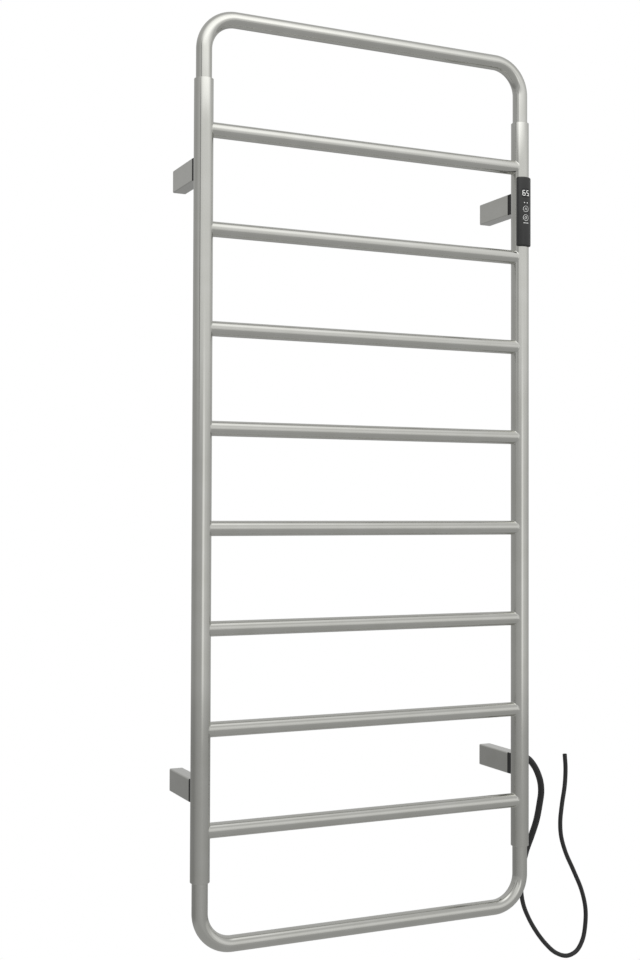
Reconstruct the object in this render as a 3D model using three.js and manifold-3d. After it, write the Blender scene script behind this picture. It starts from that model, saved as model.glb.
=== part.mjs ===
// Wall-hung electric towel warmer: a ladder of polished steel tube on four stand-off brackets.
// Millimetres. X to the right, Y into the wall, Z up. The origin is on the wall plane, at the
// middle of the four brackets.

import * as THREE from 'three';
import { mergeVertices } from 'three/addons/utils/BufferGeometryUtils.js';
import Module from 'manifold-3d';

const wasm = await Module();
wasm.setup();

// ---- driving dimensions -------------------------------------------------------------------

const HEIGHT = 1200;
const WIDTH = 500;
const GAP = 0.3; // clearance between pieces that meet

const POST_OD = 25;
const POST_WALL = 1;
const HOOP_OD = 20.5;
const HOOP_WALL = 1.2;
const HOOP_BEND = 43;
const HOOP_SOCKET = 25; // how far a hoop leg goes into its post
const BAR_OD = 19.5;
const BAR_WALL = 1;
const BAR_COUNT = 8;
const BAR_PITCH = 127;
const CABLE_HOLE = 6; // radius of the hole in the post behind each bar

const STANDOFF = 92.5; // wall to post axis
const BRACKET_W = 18.5;
const BRACKET_H = 29.5;
const BRACKET_WALL = 1.5;
const BRACKET_Z = 395.5;
const BRACKET_ROUND = 1.6;
const BRACKET_SIDE_END = 17.5; // post axis to the front edge of a sleeve's side walls
const PAD_FRONT = 8; // depths in the pad are from the post axis
const PAD_DEPTH = 32;
const PAD_FLOOR = 20; // the face that the post bolt's head presses on
const PAD_INSET = 0.4; // the pad's sides, inside the sleeve's
const PAD_CHEEK = 1.4; // how far the pad reaches in over the sleeve's top and bottom walls
const LEAD_SLOT = { left: 6.2, right: 4, below: 4, above: 4.2 }; // from the bracket's middle
const BOLT_DROP = 8; // post bolt below the bracket's centre
const BOLT_R = 2.45;
const BOLT_TIP = 4.6;
const BOLT_HEAD_R = 4;
const BOLT_HEAD_DEPTH = 5;
const BOLT_SOCKET_R = 2;
const INSERT_R = 3.5;
const INSERT_FRONT = 4;
const INSERT_FLANGE_R = 5;
const INSERT_FLANGE_PROUD = 1; // behind the post's back
const CORE_DEPTH = 22;
const CORE_PLATE = 3;
const CORE_WALL = 1.75;
const SCREW_HOLE_R = 2.75;
const GRUB_Y = -12;
const GRUB_R = 2;
const GRUB_SOCKET_R = 1.1;
const GRUB_START = 5.4; // the grub screw's inner end, from the bracket's middle
const GRUB_INSET = 0.4;

const MODULE_TOP = 430;
const MODULE_BOTTOM = 332;
const MODULE_R = 15.6; // face of the control module, from the post axis
const MODULE_HALF_W = 10.5;
const MODULE_ROUND = 2.2;
const CUTOUT_HALF_W = 8;
const CUTOUT_TOP = 424.5;
const CUTOUT_BOTTOM = 337.5;
const MODULE_BACK = -5; // depths in the module are from the post axis, negative to the front
const PAST_FACE = -20; // in front of the whole module, for cuts
const HOUSING_INNER_R = 13.6;
const HOUSING_SIDE_WALL = 0.8;
const HOUSING_END_WALL = 1.3;
const SNAP_HALF_W = 3.5;
const SNAP_BACK = -8.8;
const SNAP_HOOK_FRONT = -10.4;
const SNAP_FRONT = -14;
const SNAP_PLAY = 0.7; // from the cut-out's end to the snap arm
const SNAP_WALL = 1.5;
const SNAP_REACH = 2.2; // how far the hook goes behind the post wall
const GASKET_OUTER_R = 13.3;
const GASKET_HALF_W = 9.4;
const GASKET_END = 1.6; // from the module's ends
const TRAY_TOP = 421;
const TRAY_BOTTOM = 341;
const TRAY_HALF_W = 7.6;
const TRAY_BACK = -3.4;
const TRAY_FRONT = -12;
const TRAY_FLOOR = 1.2;
const TRAY_SIDE_WALL = 0.7;
const TRAY_OUTER_R = 12.9; // rounds the tray's front corners to clear the housing
const BOARD_HALF_W = 6.5;
const BOARD_BACK = -5.8;
const BOARD_FRONT = -7.4;
const BOARD_PEGS = [TRAY_BOTTOM + 3.3, TRAY_TOP - 4.5]; // heights of the pegs that hold the board
const PEG_R = 0.9;
const PEG_STEP_R = 2.2;
const TERMINAL = { halfW: 5, front: -11.4, bottom: 347, top: 352 };
const RELAY = { halfW: 5, front: -12, bottom: 353, top: 365.5 };
const KEY_R = 4.7;
const KEY_FACE_R = 15.55; // faces of the keys and the light pipes, from the post axis
const KEY_SHOULDER = -12.2; // the front of a key's flange, which stops against the housing
const KEY_FLANGE = 0.8;
const KEY_FLANGE_BACK = -11.3;
const KEY_STEM_BACK = -10.1;
const STEM_R = 1.5;
const SWITCH_HALF = 3;
const SWITCH_FRONT = -9.3;
const PLUNGER_FRONT = -10;
const KEY_POWER_Z = 384.2;
const KEY_TIMER_Z = 372;
const KEY_TRAVEL = 0.5;
const LIGHTS_Z = 393;
const LIGHT_X = 2.2;
const LIGHT_R = 0.7;
const LIGHT_BACK = -8.6;
const LIGHT_BRIDGE_FRONT = -9.4;
const LIGHT_SIDES = 8;
const WINDOW_HALF_W = 5.8;
const WINDOW_R = 15.45; // the window's front and back faces, from the post axis
const WINDOW_BACK_R = 14.2;
const WINDOW_BOTTOM = 400.8;
const WINDOW_TOP = 412.7;
const DISPLAY_HALF_W = 5.6;
const DISPLAY_FRONT = -12.6;
const DIGIT_HALF_W = 2;
const DIGIT_HALF_H = 3.9;
const DIGIT_X = 2.8; // the middles of the two figures, either side of the post axis
const SEGMENT_HALF = 0.45;
const BACKING_BACK = -12.7;
const BACKING_FRONT = -12.95;
const SEGMENT_FRONT = -13.2;
const SENSOR_R = 1.8;
const SENSOR_LENGTH = 12;
const SENSOR_AT = [4.8, -5.6]; // sideways and in depth from the post axis

const HEAT_CABLE_R = 2.25;
const HEAT_TAIL_DEPTH = -6;
const HEAT_END_DROP = 8; // the cable's end, below the post's end
const SEAL_R = 2.7;
const SEAL_LENGTH = 18;
const LEAD_R = 2.5;
const LEAD_HOLE_R = 4;
const LEAD_BACK = 7; // the supply lead's depth in the post below the control module
const LEAD_FRONT = -5.6;
const LEAD_X = -1.8;
const CORD_EXIT_Y = -42.5;
const CORD_R = 3.25;
const CORD_COVER_R = 4.65;
const CORD_COVER_START = 25; // along the cord from the gland
const CORD_COVER_END = 205;
const RELIEF_LENGTH = 24;
const RELIEF_ROOT_R = 6;
const RELIEF_TIP_R = 5;
const GLAND_R = 4.5;
const GLAND_HOLE_R = 4.8;
const GLAND_INSIDE = 6.4; // how far the gland goes in from the bracket's side
const GLAND_HEAD_R = 7;
const GLAND_HEAD_TIP_R = 6.2;
const GLAND_HEAD_EDGE = 1.2;
const GLAND_NUT_R = 6.8;
const GLAND_NUT_DEPTH = 2.8;

const SMALL_SIDES = 12;
const PART_SIDES = 16;
const POST_SIDES = 24;
const FINE_SIDES = 48;

// The power cord from the gland: down beside the post, behind the hoop, and up along the wall.
const CORD_ROUTE = [
  [250, -42.5, -395.5], [262, -42.5, -395.5], [274, -42.5, -395.6], [284, -42.4, -399],
  [296.5, -42, -412.5], [306.5, -40.5, -433], [310, -38, -450], [310, -34.5, -466],
  [308.5, -28, -493], [304, -21.5, -517], [298.5, -15.5, -540], [294.5, -10.5, -569],
  [295.5, -7.5, -600], [301, -5.5, -622], [311, -4.5, -643], [324.5, -4, -664],
  [341, -4, -684], [359, -4, -699.5], [379, -4, -706.5], [396, -4, -701.5],
  [407, -4, -686.5], [412, -4, -665], [412.5, -4, -640], [405.5, -4, -612],
  [391, -4, -581], [376.5, -4, -552], [368.5, -4, -527], [367, -4, -505],
  [370, -4, -480], [375, -4, -452], [376.5, -4, -426], [375, -4, -405],
];

// ---- values worked out from them ----------------------------------------------------------

const POST_X = (WIDTH - POST_OD) / 2;
const POST_Y = -STANDOFF;
const POST_R = POST_OD / 2;
const POST_BORE = POST_R - POST_WALL;
const POST_END = (BAR_PITCH * BAR_COUNT) / 2;
const BAR_R = BAR_OD / 2;
const HOOP_R = HOOP_OD / 2;
const HOOP_Z = (HEIGHT - HOOP_OD) / 2;
const CORD_FACE_X = CORD_ROUTE[0][0];
const BRACKET_FACE_X = POST_X + BRACKET_W / 2;
const barHeight = (i) => BAR_PITCH * ((BAR_COUNT - 1) / 2 - i);

const MATERIALS = {
  polished: new THREE.MeshStandardMaterial({ color: 0xc4c4bd, metalness: 1, roughness: 0.12 }),
  brushed: new THREE.MeshStandardMaterial({ color: 0xa9a9a3, metalness: 1, roughness: 0.35 }),
  zinc: new THREE.MeshStandardMaterial({ color: 0xb0b2b0, metalness: 1, roughness: 0.4 }),
  black: new THREE.MeshStandardMaterial({ color: 0x2b2b2c, metalness: 0, roughness: 0.55 }),
  rubber: new THREE.MeshStandardMaterial({ color: 0x1f1f1f, metalness: 0, roughness: 0.8 }),
  cord: new THREE.MeshStandardMaterial({ color: 0x2a2a2a, metalness: 0, roughness: 0.5 }),
  smoked: new THREE.MeshStandardMaterial({ color: 0x101012, metalness: 0, roughness: 0.1 }),
  digits: new THREE.MeshStandardMaterial({ color: 0xf4f6f2, emissive: 0xffffff }),
  board: new THREE.MeshStandardMaterial({ color: 0x1f5a35, metalness: 0, roughness: 0.5 }),
  heater: new THREE.MeshStandardMaterial({ color: 0x8c2f22, metalness: 0, roughness: 0.6 }),
};

const model = new THREE.Group();

// ---- solids -------------------------------------------------------------------------------

function solid(geometry) {
  const bare = geometry.index ? geometry.toNonIndexed() : geometry.clone();
  bare.deleteAttribute('normal');
  bare.deleteAttribute('uv');
  const merged = mergeVertices(bare, 1e-4);
  return new wasm.Manifold(new wasm.Mesh({
    numProp: 3,
    vertProperties: new Float32Array(merged.attributes.position.array),
    triVerts: new Uint32Array(merged.index.array),
  }));
}

function geometryOf(manifold) {
  const mesh = manifold.getMesh();
  const geometry = new THREE.BufferGeometry();
  geometry.setAttribute('position', new THREE.BufferAttribute(mesh.vertProperties, 3));
  geometry.setIndex(new THREE.BufferAttribute(mesh.triVerts, 1));
  const flat = geometry.toNonIndexed();
  flat.computeVertexNormals();
  return flat;
}

const inOrder = (a, b) => [Math.min(a, b), Math.max(a, b)];
const join = (...solids) => solids.reduce((a, b) => a.add(b));
const cut = (body, ...tools) => tools.reduce((a, b) => a.subtract(b), body);
const common = (...solids) => solids.reduce((a, b) => a.intersect(b));

function addPiece(name, material, manifold) {
  const mesh = new THREE.Mesh(geometryOf(manifold), MATERIALS[material]);
  mesh.name = name;
  model.add(mesh);
}

// A box between two corners, each given as [x, y, z].
function box(low, high) {
  const size = high.map((v, i) => v - low[i]);
  const geometry = new THREE.BoxGeometry(...size);
  geometry.translate(...high.map((v, i) => (v + low[i]) / 2));
  return solid(geometry);
}

// A rod of one radius along 'x', 'y' or 'z', from one value of that axis to another, centred
// on the other two coordinates of `at`.
function rod(axis, radius, from, to, at, sides = PART_SIDES) {
  return turned(axis, [[0, from], [radius, from], [radius, to], [0, to]], at, sides);
}

// A body of revolution about an axis along 'x', 'y' or 'z' through `at`. Each profile point is
// [radius, place along the axis], in the order that keeps the material on the left.
function turned(axis, profile, at, sides = PART_SIDES) {
  const closed = profile[0][0] > 0 ? [...profile, profile[0]] : profile;
  const geometry = new THREE.LatheGeometry(closed.map(([r, a]) => new THREE.Vector2(r, a)), sides);
  if (axis === 'z') geometry.rotateX(Math.PI / 2);
  if (axis === 'x') geometry.rotateZ(-Math.PI / 2);
  geometry.translate(axis === 'x' ? 0 : at[0], axis === 'y' ? 0 : at[1], axis === 'z' ? 0 : at[2]);
  return solid(geometry);
}

const tube = (axis, outer, inner, from, to, at, sides = PART_SIDES) =>
  turned(axis, [[inner, from], [outer, from], [outer, to], [inner, to]], at, sides);

// A rectangular section with rounded corners, run along Y.
function sectionAlongY(halfW, halfH, corner, yBack, yFront, x, z) {
  const shape = new THREE.Shape();
  shape.moveTo(-halfW + corner, -halfH);
  shape.lineTo(halfW - corner, -halfH);
  shape.absarc(halfW - corner, -halfH + corner, corner, -Math.PI / 2, 0);
  shape.lineTo(halfW, halfH - corner);
  shape.absarc(halfW - corner, halfH - corner, corner, 0, Math.PI / 2);
  shape.lineTo(-halfW + corner, halfH);
  shape.absarc(-halfW + corner, halfH - corner, corner, Math.PI / 2, Math.PI);
  shape.lineTo(-halfW, -halfH + corner);
  shape.absarc(-halfW + corner, -halfH + corner, corner, Math.PI, 1.5 * Math.PI);
  const depth = yBack - yFront;
  const geometry = new THREE.ExtrudeGeometry(shape, { depth, bevelEnabled: false, curveSegments: 3 });
  geometry.rotateX(Math.PI / 2);
  geometry.translate(x, yBack, z);
  return solid(geometry);
}

// ---- tubes and cables along a route --------------------------------------------------------

// A curve whose steps fall on chosen points, with the true direction at each.
class StationPath extends THREE.Curve {
  constructor(points, tangents) {
    super();
    this.points = points;
    this.tangents = tangents;
  }

  getUtoTmapping(u) {
    return u;
  }

  at(list, t) {
    const place = t * (list.length - 1);
    const i = Math.min(Math.floor(place + 1e-9), list.length - 2);
    return list[i].clone().lerp(list[i + 1], place - i);
  }

  getPoint(t) {
    return this.at(this.points, t);
  }

  getTangent(t) {
    return this.at(this.tangents, t).normalize();
  }
}

// A route of straight runs joined by arcs. Each corner is { at, bend, steps }.
function bentRoute(corners) {
  const places = corners.map(({ at }) => new THREE.Vector3(...at));
  const directions = places.slice(1).map((p, i) => p.clone().sub(places[i]).normalize());
  const points = [places[0]];
  const tangents = [directions[0]];
  for (let i = 1; i < places.length - 1; i++) {
    const along = directions[i - 1];
    const onward = directions[i];
    const angle = along.angleTo(onward);
    const { bend, steps } = corners[i];
    const start = places[i].clone().addScaledVector(along, -bend * Math.tan(angle / 2));
    const side = onward.clone().addScaledVector(along, -Math.cos(angle)).normalize();
    for (let k = 0; k <= steps; k++) {
      const turn = (angle * k) / steps;
      const point = start.clone().addScaledVector(along, bend * Math.sin(turn));
      points.push(point.addScaledVector(side, bend * (1 - Math.cos(turn))));
      const tangent = along.clone().multiplyScalar(Math.cos(turn));
      tangents.push(tangent.addScaledVector(side, Math.sin(turn)));
    }
  }
  points.push(places.at(-1));
  tangents.push(directions.at(-1));
  return new StationPath(points, tangents);
}

function sweep(path, steps, outer, inner, sides) {
  const section = new THREE.Shape();
  section.absarc(0, 0, outer, 0, 2 * Math.PI);
  if (inner) {
    const bore = new THREE.Path();
    bore.absarc(0, 0, inner, 0, 2 * Math.PI, true);
    section.holes.push(bore);
  }
  const options = { steps, extrudePath: path, curveSegments: sides / 2, bevelEnabled: false };
  return solid(new THREE.ExtrudeGeometry(section, options));
}

const sweepStations = (path, outer, inner, sides) =>
  sweep(path, path.points.length - 1, outer, inner, sides);

// One stretch of a longer curve, measured along it in millimetres.
class CurveStretch extends THREE.Curve {
  constructor(whole, from, to) {
    super();
    this.whole = whole;
    this.from = from / whole.getLength();
    this.to = to / whole.getLength();
  }

  getPoint(t) {
    return this.whole.getPointAt(this.from + (this.to - this.from) * t);
  }
}

// ---- frame: posts, hoops, ferrules and bars -------------------------------------------------

const SIDES = { left: -1, right: 1 };
const LEVELS = { upper: 1, lower: -1 };

function postShell() {
  const edge = 0.4;
  return turned('z', [
    [POST_BORE, -POST_END], [POST_R - edge, -POST_END], [POST_R, -POST_END + edge],
    [POST_R, POST_END - edge], [POST_R - edge, POST_END], [POST_BORE, POST_END],
  ], [0, POST_Y], POST_SIDES);
}

// The threaded insert that is pressed for good into the back of the post, for a post bolt.
function postInsert(x, z) {
  const bore = BOLT_R + GAP;
  const front = POST_Y + INSERT_FRONT;
  const flangeFront = POST_Y + POST_R - POST_WALL / 2;
  const flangeBack = POST_Y + POST_R + INSERT_FLANGE_PROUD;
  return turned('y', [
    [bore, front], [INSERT_R, front], [INSERT_R, flangeFront],
    [INSERT_FLANGE_R, flangeFront], [INSERT_FLANGE_R, flangeBack], [bore, flangeBack],
  ], [x, 0, z], SMALL_SIDES);
}

function makePost(side) {
  const x = SIDES[side] * POST_X;
  const inward = -SIDES[side];
  let post = postShell().translate([x, 0, 0]);
  for (let i = 0; i < BAR_COUNT; i++) {
    const ends = inOrder(x, x + inward * POST_OD);
    post = cut(post, rod('x', CABLE_HOLE, ...ends, [0, POST_Y, barHeight(i)], SMALL_SIDES));
  }
  for (const sign of Object.values(LEVELS)) {
    const z = sign * BRACKET_Z - BOLT_DROP;
    const boltHole = rod('y', BOLT_R + GAP, POST_Y, POST_Y + POST_OD, [x, 0, z], SMALL_SIDES);
    post = join(cut(post, boltHole), postInsert(x, z));
  }
  if (side === 'right') {
    const leadHole = rod('y', LEAD_HOLE_R, POST_Y, POST_Y + POST_OD, [x + LEAD_X, 0, -BRACKET_Z]);
    const cutout = box(
      [x - CUTOUT_HALF_W, POST_Y - POST_OD, CUTOUT_BOTTOM],
      [x + CUTOUT_HALF_W, POST_Y, CUTOUT_TOP],
    );
    post = cut(post, leadHole, cutout);
  }
  addPiece(`${side}_post`, 'polished', post);
}

function makeHoop(name, sign) {
  const end = sign * (POST_END - HOOP_SOCKET);
  const corner = (x) => ({ at: [x, POST_Y, sign * HOOP_Z], bend: HOOP_BEND, steps: 6 });
  const path = bentRoute([
    { at: [-POST_X, POST_Y, end] }, corner(-POST_X), corner(POST_X), { at: [POST_X, POST_Y, end] },
  ]);
  addPiece(name, 'polished', sweepStations(path, HOOP_R, HOOP_R - HOOP_WALL, PART_SIDES));
}

// The ring that brings the post's bore down to the hoop.
function makeFerrule(side, level) {
  const inset = 0.5; // the ring's outer end, inside the post's
  const far = LEVELS[level] * (POST_END - inset);
  const near = LEVELS[level] * (POST_END - HOOP_SOCKET + 2 * inset);
  const [low, high] = inOrder(far, near);
  const at = [SIDES[side] * POST_X, POST_Y];
  const ring = tube('z', POST_BORE - GAP, HOOP_R + GAP, low, high, at);
  addPiece(`${level}_${side}_ferrule`, 'brushed', ring);
}

function makeBar(i) {
  const z = barHeight(i);
  let bar = tube('x', BAR_R, BAR_R - BAR_WALL, -POST_X, POST_X, [0, POST_Y, z]);
  for (const sign of Object.values(SIDES)) {
    const seat = rod('z', POST_R + GAP, z - POST_R, z + POST_R, [sign * POST_X, POST_Y], POST_SIDES);
    bar = cut(bar, seat);
  }
  addPiece(`crossbar_${i + 1}`, 'polished', bar);
}

// ---- wall brackets --------------------------------------------------------------------------

function postClearance(x, z) {
  return rod('z', POST_R + GAP, z - BRACKET_H, z + BRACKET_H, [x, POST_Y], POST_SIDES);
}

// The rectangular sleeve: its top and bottom reach the post, its sides stop short of it.
function bracketSleeve(x, z) {
  const halfW = BRACKET_W / 2;
  const halfH = BRACKET_H / 2;
  const outer = sectionAlongY(halfW, halfH, BRACKET_ROUND, 0, POST_Y, x, z);
  const inW = halfW - BRACKET_WALL;
  const inH = halfH - BRACKET_WALL;
  const bore = box([x - inW, POST_Y - 1, z - inH], [x + inW, 1, z + inH]);
  const sideEnd = POST_Y + BRACKET_SIDE_END;
  const sideGap = box([x - BRACKET_W, POST_Y - 1, z - inH], [x + BRACKET_W, sideEnd, z + inH]);
  // Here the top and bottom walls are narrower, so that the pad's cheeks cover their edges.
  const notches = Object.values(SIDES).map((sign) => {
    const [low, high] = inOrder(x + sign * (halfW - PAD_CHEEK - GAP), x + sign * BRACKET_W);
    return box([low, POST_Y - 1, z - BRACKET_H], [high, sideEnd, z + BRACKET_H]);
  });
  const grubHole = rod('x', GRUB_R + GAP, x, x + BRACKET_W, [0, GRUB_Y, z], SMALL_SIDES);
  return cut(outer, bore, sideGap, ...notches, postClearance(x, z), grubHole);
}

function makeSleeve(name, x, z, holdsCord) {
  let sleeve = bracketSleeve(x, z);
  if (holdsCord) {
    const glandHole = rod('x', GLAND_HOLE_R, x, x + BRACKET_W, [0, CORD_EXIT_Y, z]);
    sleeve = cut(sleeve, glandHole);
  }
  addPiece(`${name}_sleeve`, 'polished', sleeve);
}

// The black moulding that seats on the post, shows between it and the sleeve's sides, and plugs
// the front of the sleeve.
function makePad(name, x, z) {
  const plugW = BRACKET_W / 2 - BRACKET_WALL - GAP;
  const plugH = BRACKET_H / 2 - BRACKET_WALL - GAP;
  const seatW = BRACKET_W / 2 - PAD_INSET;
  const seatH = BRACKET_H / 2 - PAD_INSET / 2;
  const cheekW = BRACKET_W / 2 - PAD_CHEEK;
  const front = POST_Y + PAD_FRONT;
  const seatBack = POST_Y + BRACKET_SIDE_END - GAP;
  const back = POST_Y + PAD_DEPTH;
  const plug = box([x - plugW, front, z - plugH], [x + plugW, back, z + plugH]);
  const seat = box([x - seatW, front, z - plugH], [x + seatW, seatBack, z + plugH]);
  const middle = box([x - cheekW, front - 1, z - BRACKET_H], [x + cheekW, seatBack + 1, z + BRACKET_H]);
  const cheeks = cut(sectionAlongY(seatW, seatH, BRACKET_ROUND, seatBack, front, x, z), middle);
  const boltZ = z - BOLT_DROP;
  const boltHole = rod('y', BOLT_R + GAP, POST_Y, back, [x, 0, boltZ], SMALL_SIDES);
  const flangeBack = POST_Y + POST_R + INSERT_FLANGE_PROUD + 2 * GAP;
  const flangeSeat = rod('y', INSERT_FLANGE_R + GAP, POST_Y, flangeBack, [x, 0, boltZ], SMALL_SIDES);
  const headSeat = rod('y', BOLT_HEAD_R + PAD_INSET, POST_Y + PAD_FLOOR, back + 1, [x, 0, boltZ]);
  const { left, right, below, above } = LEAD_SLOT;
  const leadSlot = box([x - left, POST_Y, z - below], [x + right, back + 1, z + above]);
  const body = join(plug, seat, cheeks);
  const pad = cut(body, postClearance(x, z), boltHole, flangeSeat, headSeat, leadSlot);
  addPiece(`${name}_pad`, 'black', pad);
}

// The block screwed to the wall, which the sleeve slides over.
function makeWallCore(name, x, z) {
  const halfW = BRACKET_W / 2 - BRACKET_WALL - GAP;
  const halfH = BRACKET_H / 2 - BRACKET_WALL - GAP;
  const block = box([x - halfW, -CORE_DEPTH, z - halfH], [x + halfW, 0, z + halfH]);
  const pocket = box(
    [x - halfW + CORE_WALL, -CORE_DEPTH - 1, z - halfH + CORE_WALL],
    [x + halfW - CORE_WALL, -CORE_PLATE, z + halfH - CORE_WALL],
  );
  const screwHole = rod('y', SCREW_HOLE_R, -CORE_DEPTH, 1, [x, 0, z]);
  const grubHole = rod('x', GRUB_R + GAP, x, x + BRACKET_W, [0, GRUB_Y, z], SMALL_SIDES);
  addPiece(`${name}_wall_core`, 'zinc', cut(block, pocket, screwHole, grubHole));
}

function postBolt(x, z) {
  const underHead = POST_Y + PAD_FLOOR + GAP;
  const headTop = POST_Y + PAD_FLOOR + BOLT_HEAD_DEPTH;
  const head = rod('y', BOLT_HEAD_R, underHead, headTop, [x, 0, z]);
  const shank = rod('y', BOLT_R, POST_Y + BOLT_TIP, underHead + 1, [x, 0, z], SMALL_SIDES);
  const socket = rod('y', BOLT_SOCKET_R, headTop - BOLT_HEAD_DEPTH / 2, headTop + 1, [x, 0, z], 6);
  return cut(join(head, shank), socket);
}

function grubScrew(x, z) {
  const face = x + BRACKET_W / 2 - GRUB_INSET;
  const screw = rod('x', GRUB_R, x + GRUB_START, face, [0, GRUB_Y, z], SMALL_SIDES);
  return cut(screw, rod('x', GRUB_SOCKET_R, face - GRUB_R, face + 1, [0, GRUB_Y, z], 6));
}

function makeBrackets() {
  for (const level of Object.keys(LEVELS)) {
    for (const side of Object.keys(SIDES)) {
      const name = `${level}_${side}_bracket`;
      const x = SIDES[side] * POST_X;
      const z = LEVELS[level] * BRACKET_Z;
      makeSleeve(name, x, z, side === 'right' && level === 'lower');
      makePad(name, x, z);
      makeWallCore(name, x, z);
      addPiece(`${name}_post_bolt`, 'zinc', postBolt(x, z - BOLT_DROP));
      addPiece(`${name}_grub_screw`, 'zinc', grubScrew(x, z));
    }
  }
}

// ---- control module on the right post -------------------------------------------------------

const inPost = (dx, depth) => [POST_X + dx, POST_Y + depth];

function moduleBox(halfW, back, front, bottom, top, dx = 0) {
  const [x, yBack] = inPost(dx, back);
  return box([x - halfW, POST_Y + front, bottom], [x + halfW, yBack, top]);
}

const moduleRod = (radius, from, to, z, dx = 0, sides = PART_SIDES) =>
  rod('y', radius, POST_Y + from, POST_Y + to, [POST_X + dx, 0, z], sides);

const postRound = (radius, bottom = MODULE_BOTTOM - 5, top = MODULE_TOP + 5) =>
  rod('z', radius, bottom, top, inPost(0, 0), FINE_SIDES);

// A snap arm that hooks behind the post wall at one end of the cut-out.
function snapArm(end) {
  const outer = end > 0 ? CUTOUT_TOP - SNAP_PLAY : CUTOUT_BOTTOM + SNAP_PLAY;
  const armEnds = inOrder(outer, outer - end * SNAP_WALL);
  const hookEnds = inOrder(outer - end, outer + end * SNAP_REACH);
  return join(
    moduleBox(SNAP_HALF_W, SNAP_BACK, SNAP_FRONT, ...armEnds),
    moduleBox(SNAP_HALF_W, SNAP_BACK, SNAP_HOOK_FRONT, ...hookEnds),
  );
}

function makeHousing() {
  const outside = turned('z', [
    [0, MODULE_BOTTOM], [MODULE_R - MODULE_ROUND, MODULE_BOTTOM],
    [MODULE_R, MODULE_BOTTOM + MODULE_ROUND], [MODULE_R, MODULE_TOP - MODULE_ROUND],
    [MODULE_R - MODULE_ROUND, MODULE_TOP], [0, MODULE_TOP],
  ], inPost(0, 0), FINE_SIDES);
  const slab = moduleBox(MODULE_HALF_W, MODULE_BACK, PAST_FACE, MODULE_BOTTOM - 1, MODULE_TOP + 1);
  const [hollowBottom, hollowTop] = [MODULE_BOTTOM + HOUSING_END_WALL, MODULE_TOP - HOUSING_END_WALL];
  const hollow = common(
    postRound(HOUSING_INNER_R),
    moduleBox(MODULE_HALF_W - HOUSING_SIDE_WALL, 0, PAST_FACE, hollowBottom, hollowTop),
  );
  const lightHole = (dx) => moduleRod(LIGHT_R + GAP, PAST_FACE, MODULE_BACK, LIGHTS_Z, dx, LIGHT_SIDES);
  const openings = [
    moduleBox(WINDOW_HALF_W + GAP, 0, PAST_FACE, WINDOW_BOTTOM - GAP, WINDOW_TOP + GAP),
    moduleRod(KEY_R + GAP, PAST_FACE, MODULE_BACK, KEY_POWER_Z),
    moduleRod(KEY_R + GAP, PAST_FACE, MODULE_BACK, KEY_TIMER_Z),
    lightHole(-LIGHT_X),
    lightHole(LIGHT_X),
  ];
  const shell = cut(common(outside, slab), postRound(POST_R + GAP), hollow, ...openings);
  addPiece('control_housing', 'black', join(shell, snapArm(1), snapArm(-1)));
}

function makeGasket() {
  const skin = cut(postRound(GASKET_OUTER_R), postRound(POST_R + GAP));
  const outline =
    moduleBox(GASKET_HALF_W, 0, PAST_FACE, MODULE_BOTTOM + GASKET_END, MODULE_TOP - GASKET_END);
  const middle =
    moduleBox(CUTOUT_HALF_W + GAP, 0, PAST_FACE, CUTOUT_BOTTOM - GAP, CUTOUT_TOP + GAP);
  addPiece('control_gasket', 'rubber', cut(common(skin, outline), middle));
}

function makeTray() {
  const block = moduleBox(TRAY_HALF_W, TRAY_BACK, TRAY_FRONT, TRAY_BOTTOM, TRAY_TOP);
  const inside = moduleBox(
    TRAY_HALF_W - TRAY_SIDE_WALL, TRAY_BACK - TRAY_FLOOR, PAST_FACE,
    TRAY_BOTTOM + TRAY_FLOOR, TRAY_TOP - TRAY_FLOOR,
  );
  const root = TRAY_BACK - TRAY_FLOOR / 2;
  let tray = common(cut(block, inside), postRound(TRAY_OUTER_R));
  for (const z of BOARD_PEGS) {
    const step = moduleRod(PEG_STEP_R, BOARD_BACK + GAP, root, z);
    const peg = moduleRod(PEG_R, BOARD_FRONT - PEG_R, root, z, 0, SMALL_SIDES);
    tray = join(tray, step, peg);
  }
  addPiece('control_tray', 'black', tray);
}

function makeBoard() {
  const [bottom, top] = [TRAY_BOTTOM + TRAY_FLOOR + GAP, TRAY_TOP - TRAY_FLOOR - GAP];
  const board = moduleBox(BOARD_HALF_W, BOARD_BACK, BOARD_FRONT, bottom, top);
  const holes = BOARD_PEGS.map((z) => moduleRod(PEG_R + GAP, PLUNGER_FRONT, 0, z, 0, SMALL_SIDES));
  addPiece('control_board', 'board', cut(board, ...holes));
  const onBoard = ({ halfW, front, bottom: low, top: high }) =>
    moduleBox(halfW, BOARD_FRONT - GAP, front, low, high);
  addPiece('supply_terminal', 'black', onBoard(TERMINAL));
  addPiece('heater_relay', 'black', onBoard(RELAY));
}

function makeDisplay() {
  const edge = 0.1;
  const [bottom, top] = [WINDOW_BOTTOM + edge, WINDOW_TOP - edge];
  addPiece('display_block', 'black',
    moduleBox(DISPLAY_HALF_W, BOARD_FRONT - GAP, DISPLAY_FRONT, bottom, top));
  addPiece('display_window', 'smoked', common(
    cut(postRound(WINDOW_R), postRound(WINDOW_BACK_R)),
    moduleBox(WINDOW_HALF_W, 0, PAST_FACE, WINDOW_BOTTOM, WINDOW_TOP),
  ));
  const middle = (WINDOW_BOTTOM + WINDOW_TOP) / 2;
  const backing =
    moduleBox(DISPLAY_HALF_W - 2 * edge, BACKING_BACK, BACKING_FRONT, middle - 5, middle + 5);
  const segments = [...digit('acdefg', -DIGIT_X, middle), ...digit('acdfg', DIGIT_X, middle)];
  addPiece('display_digits', 'digits', join(backing, ...segments));
}

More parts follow.
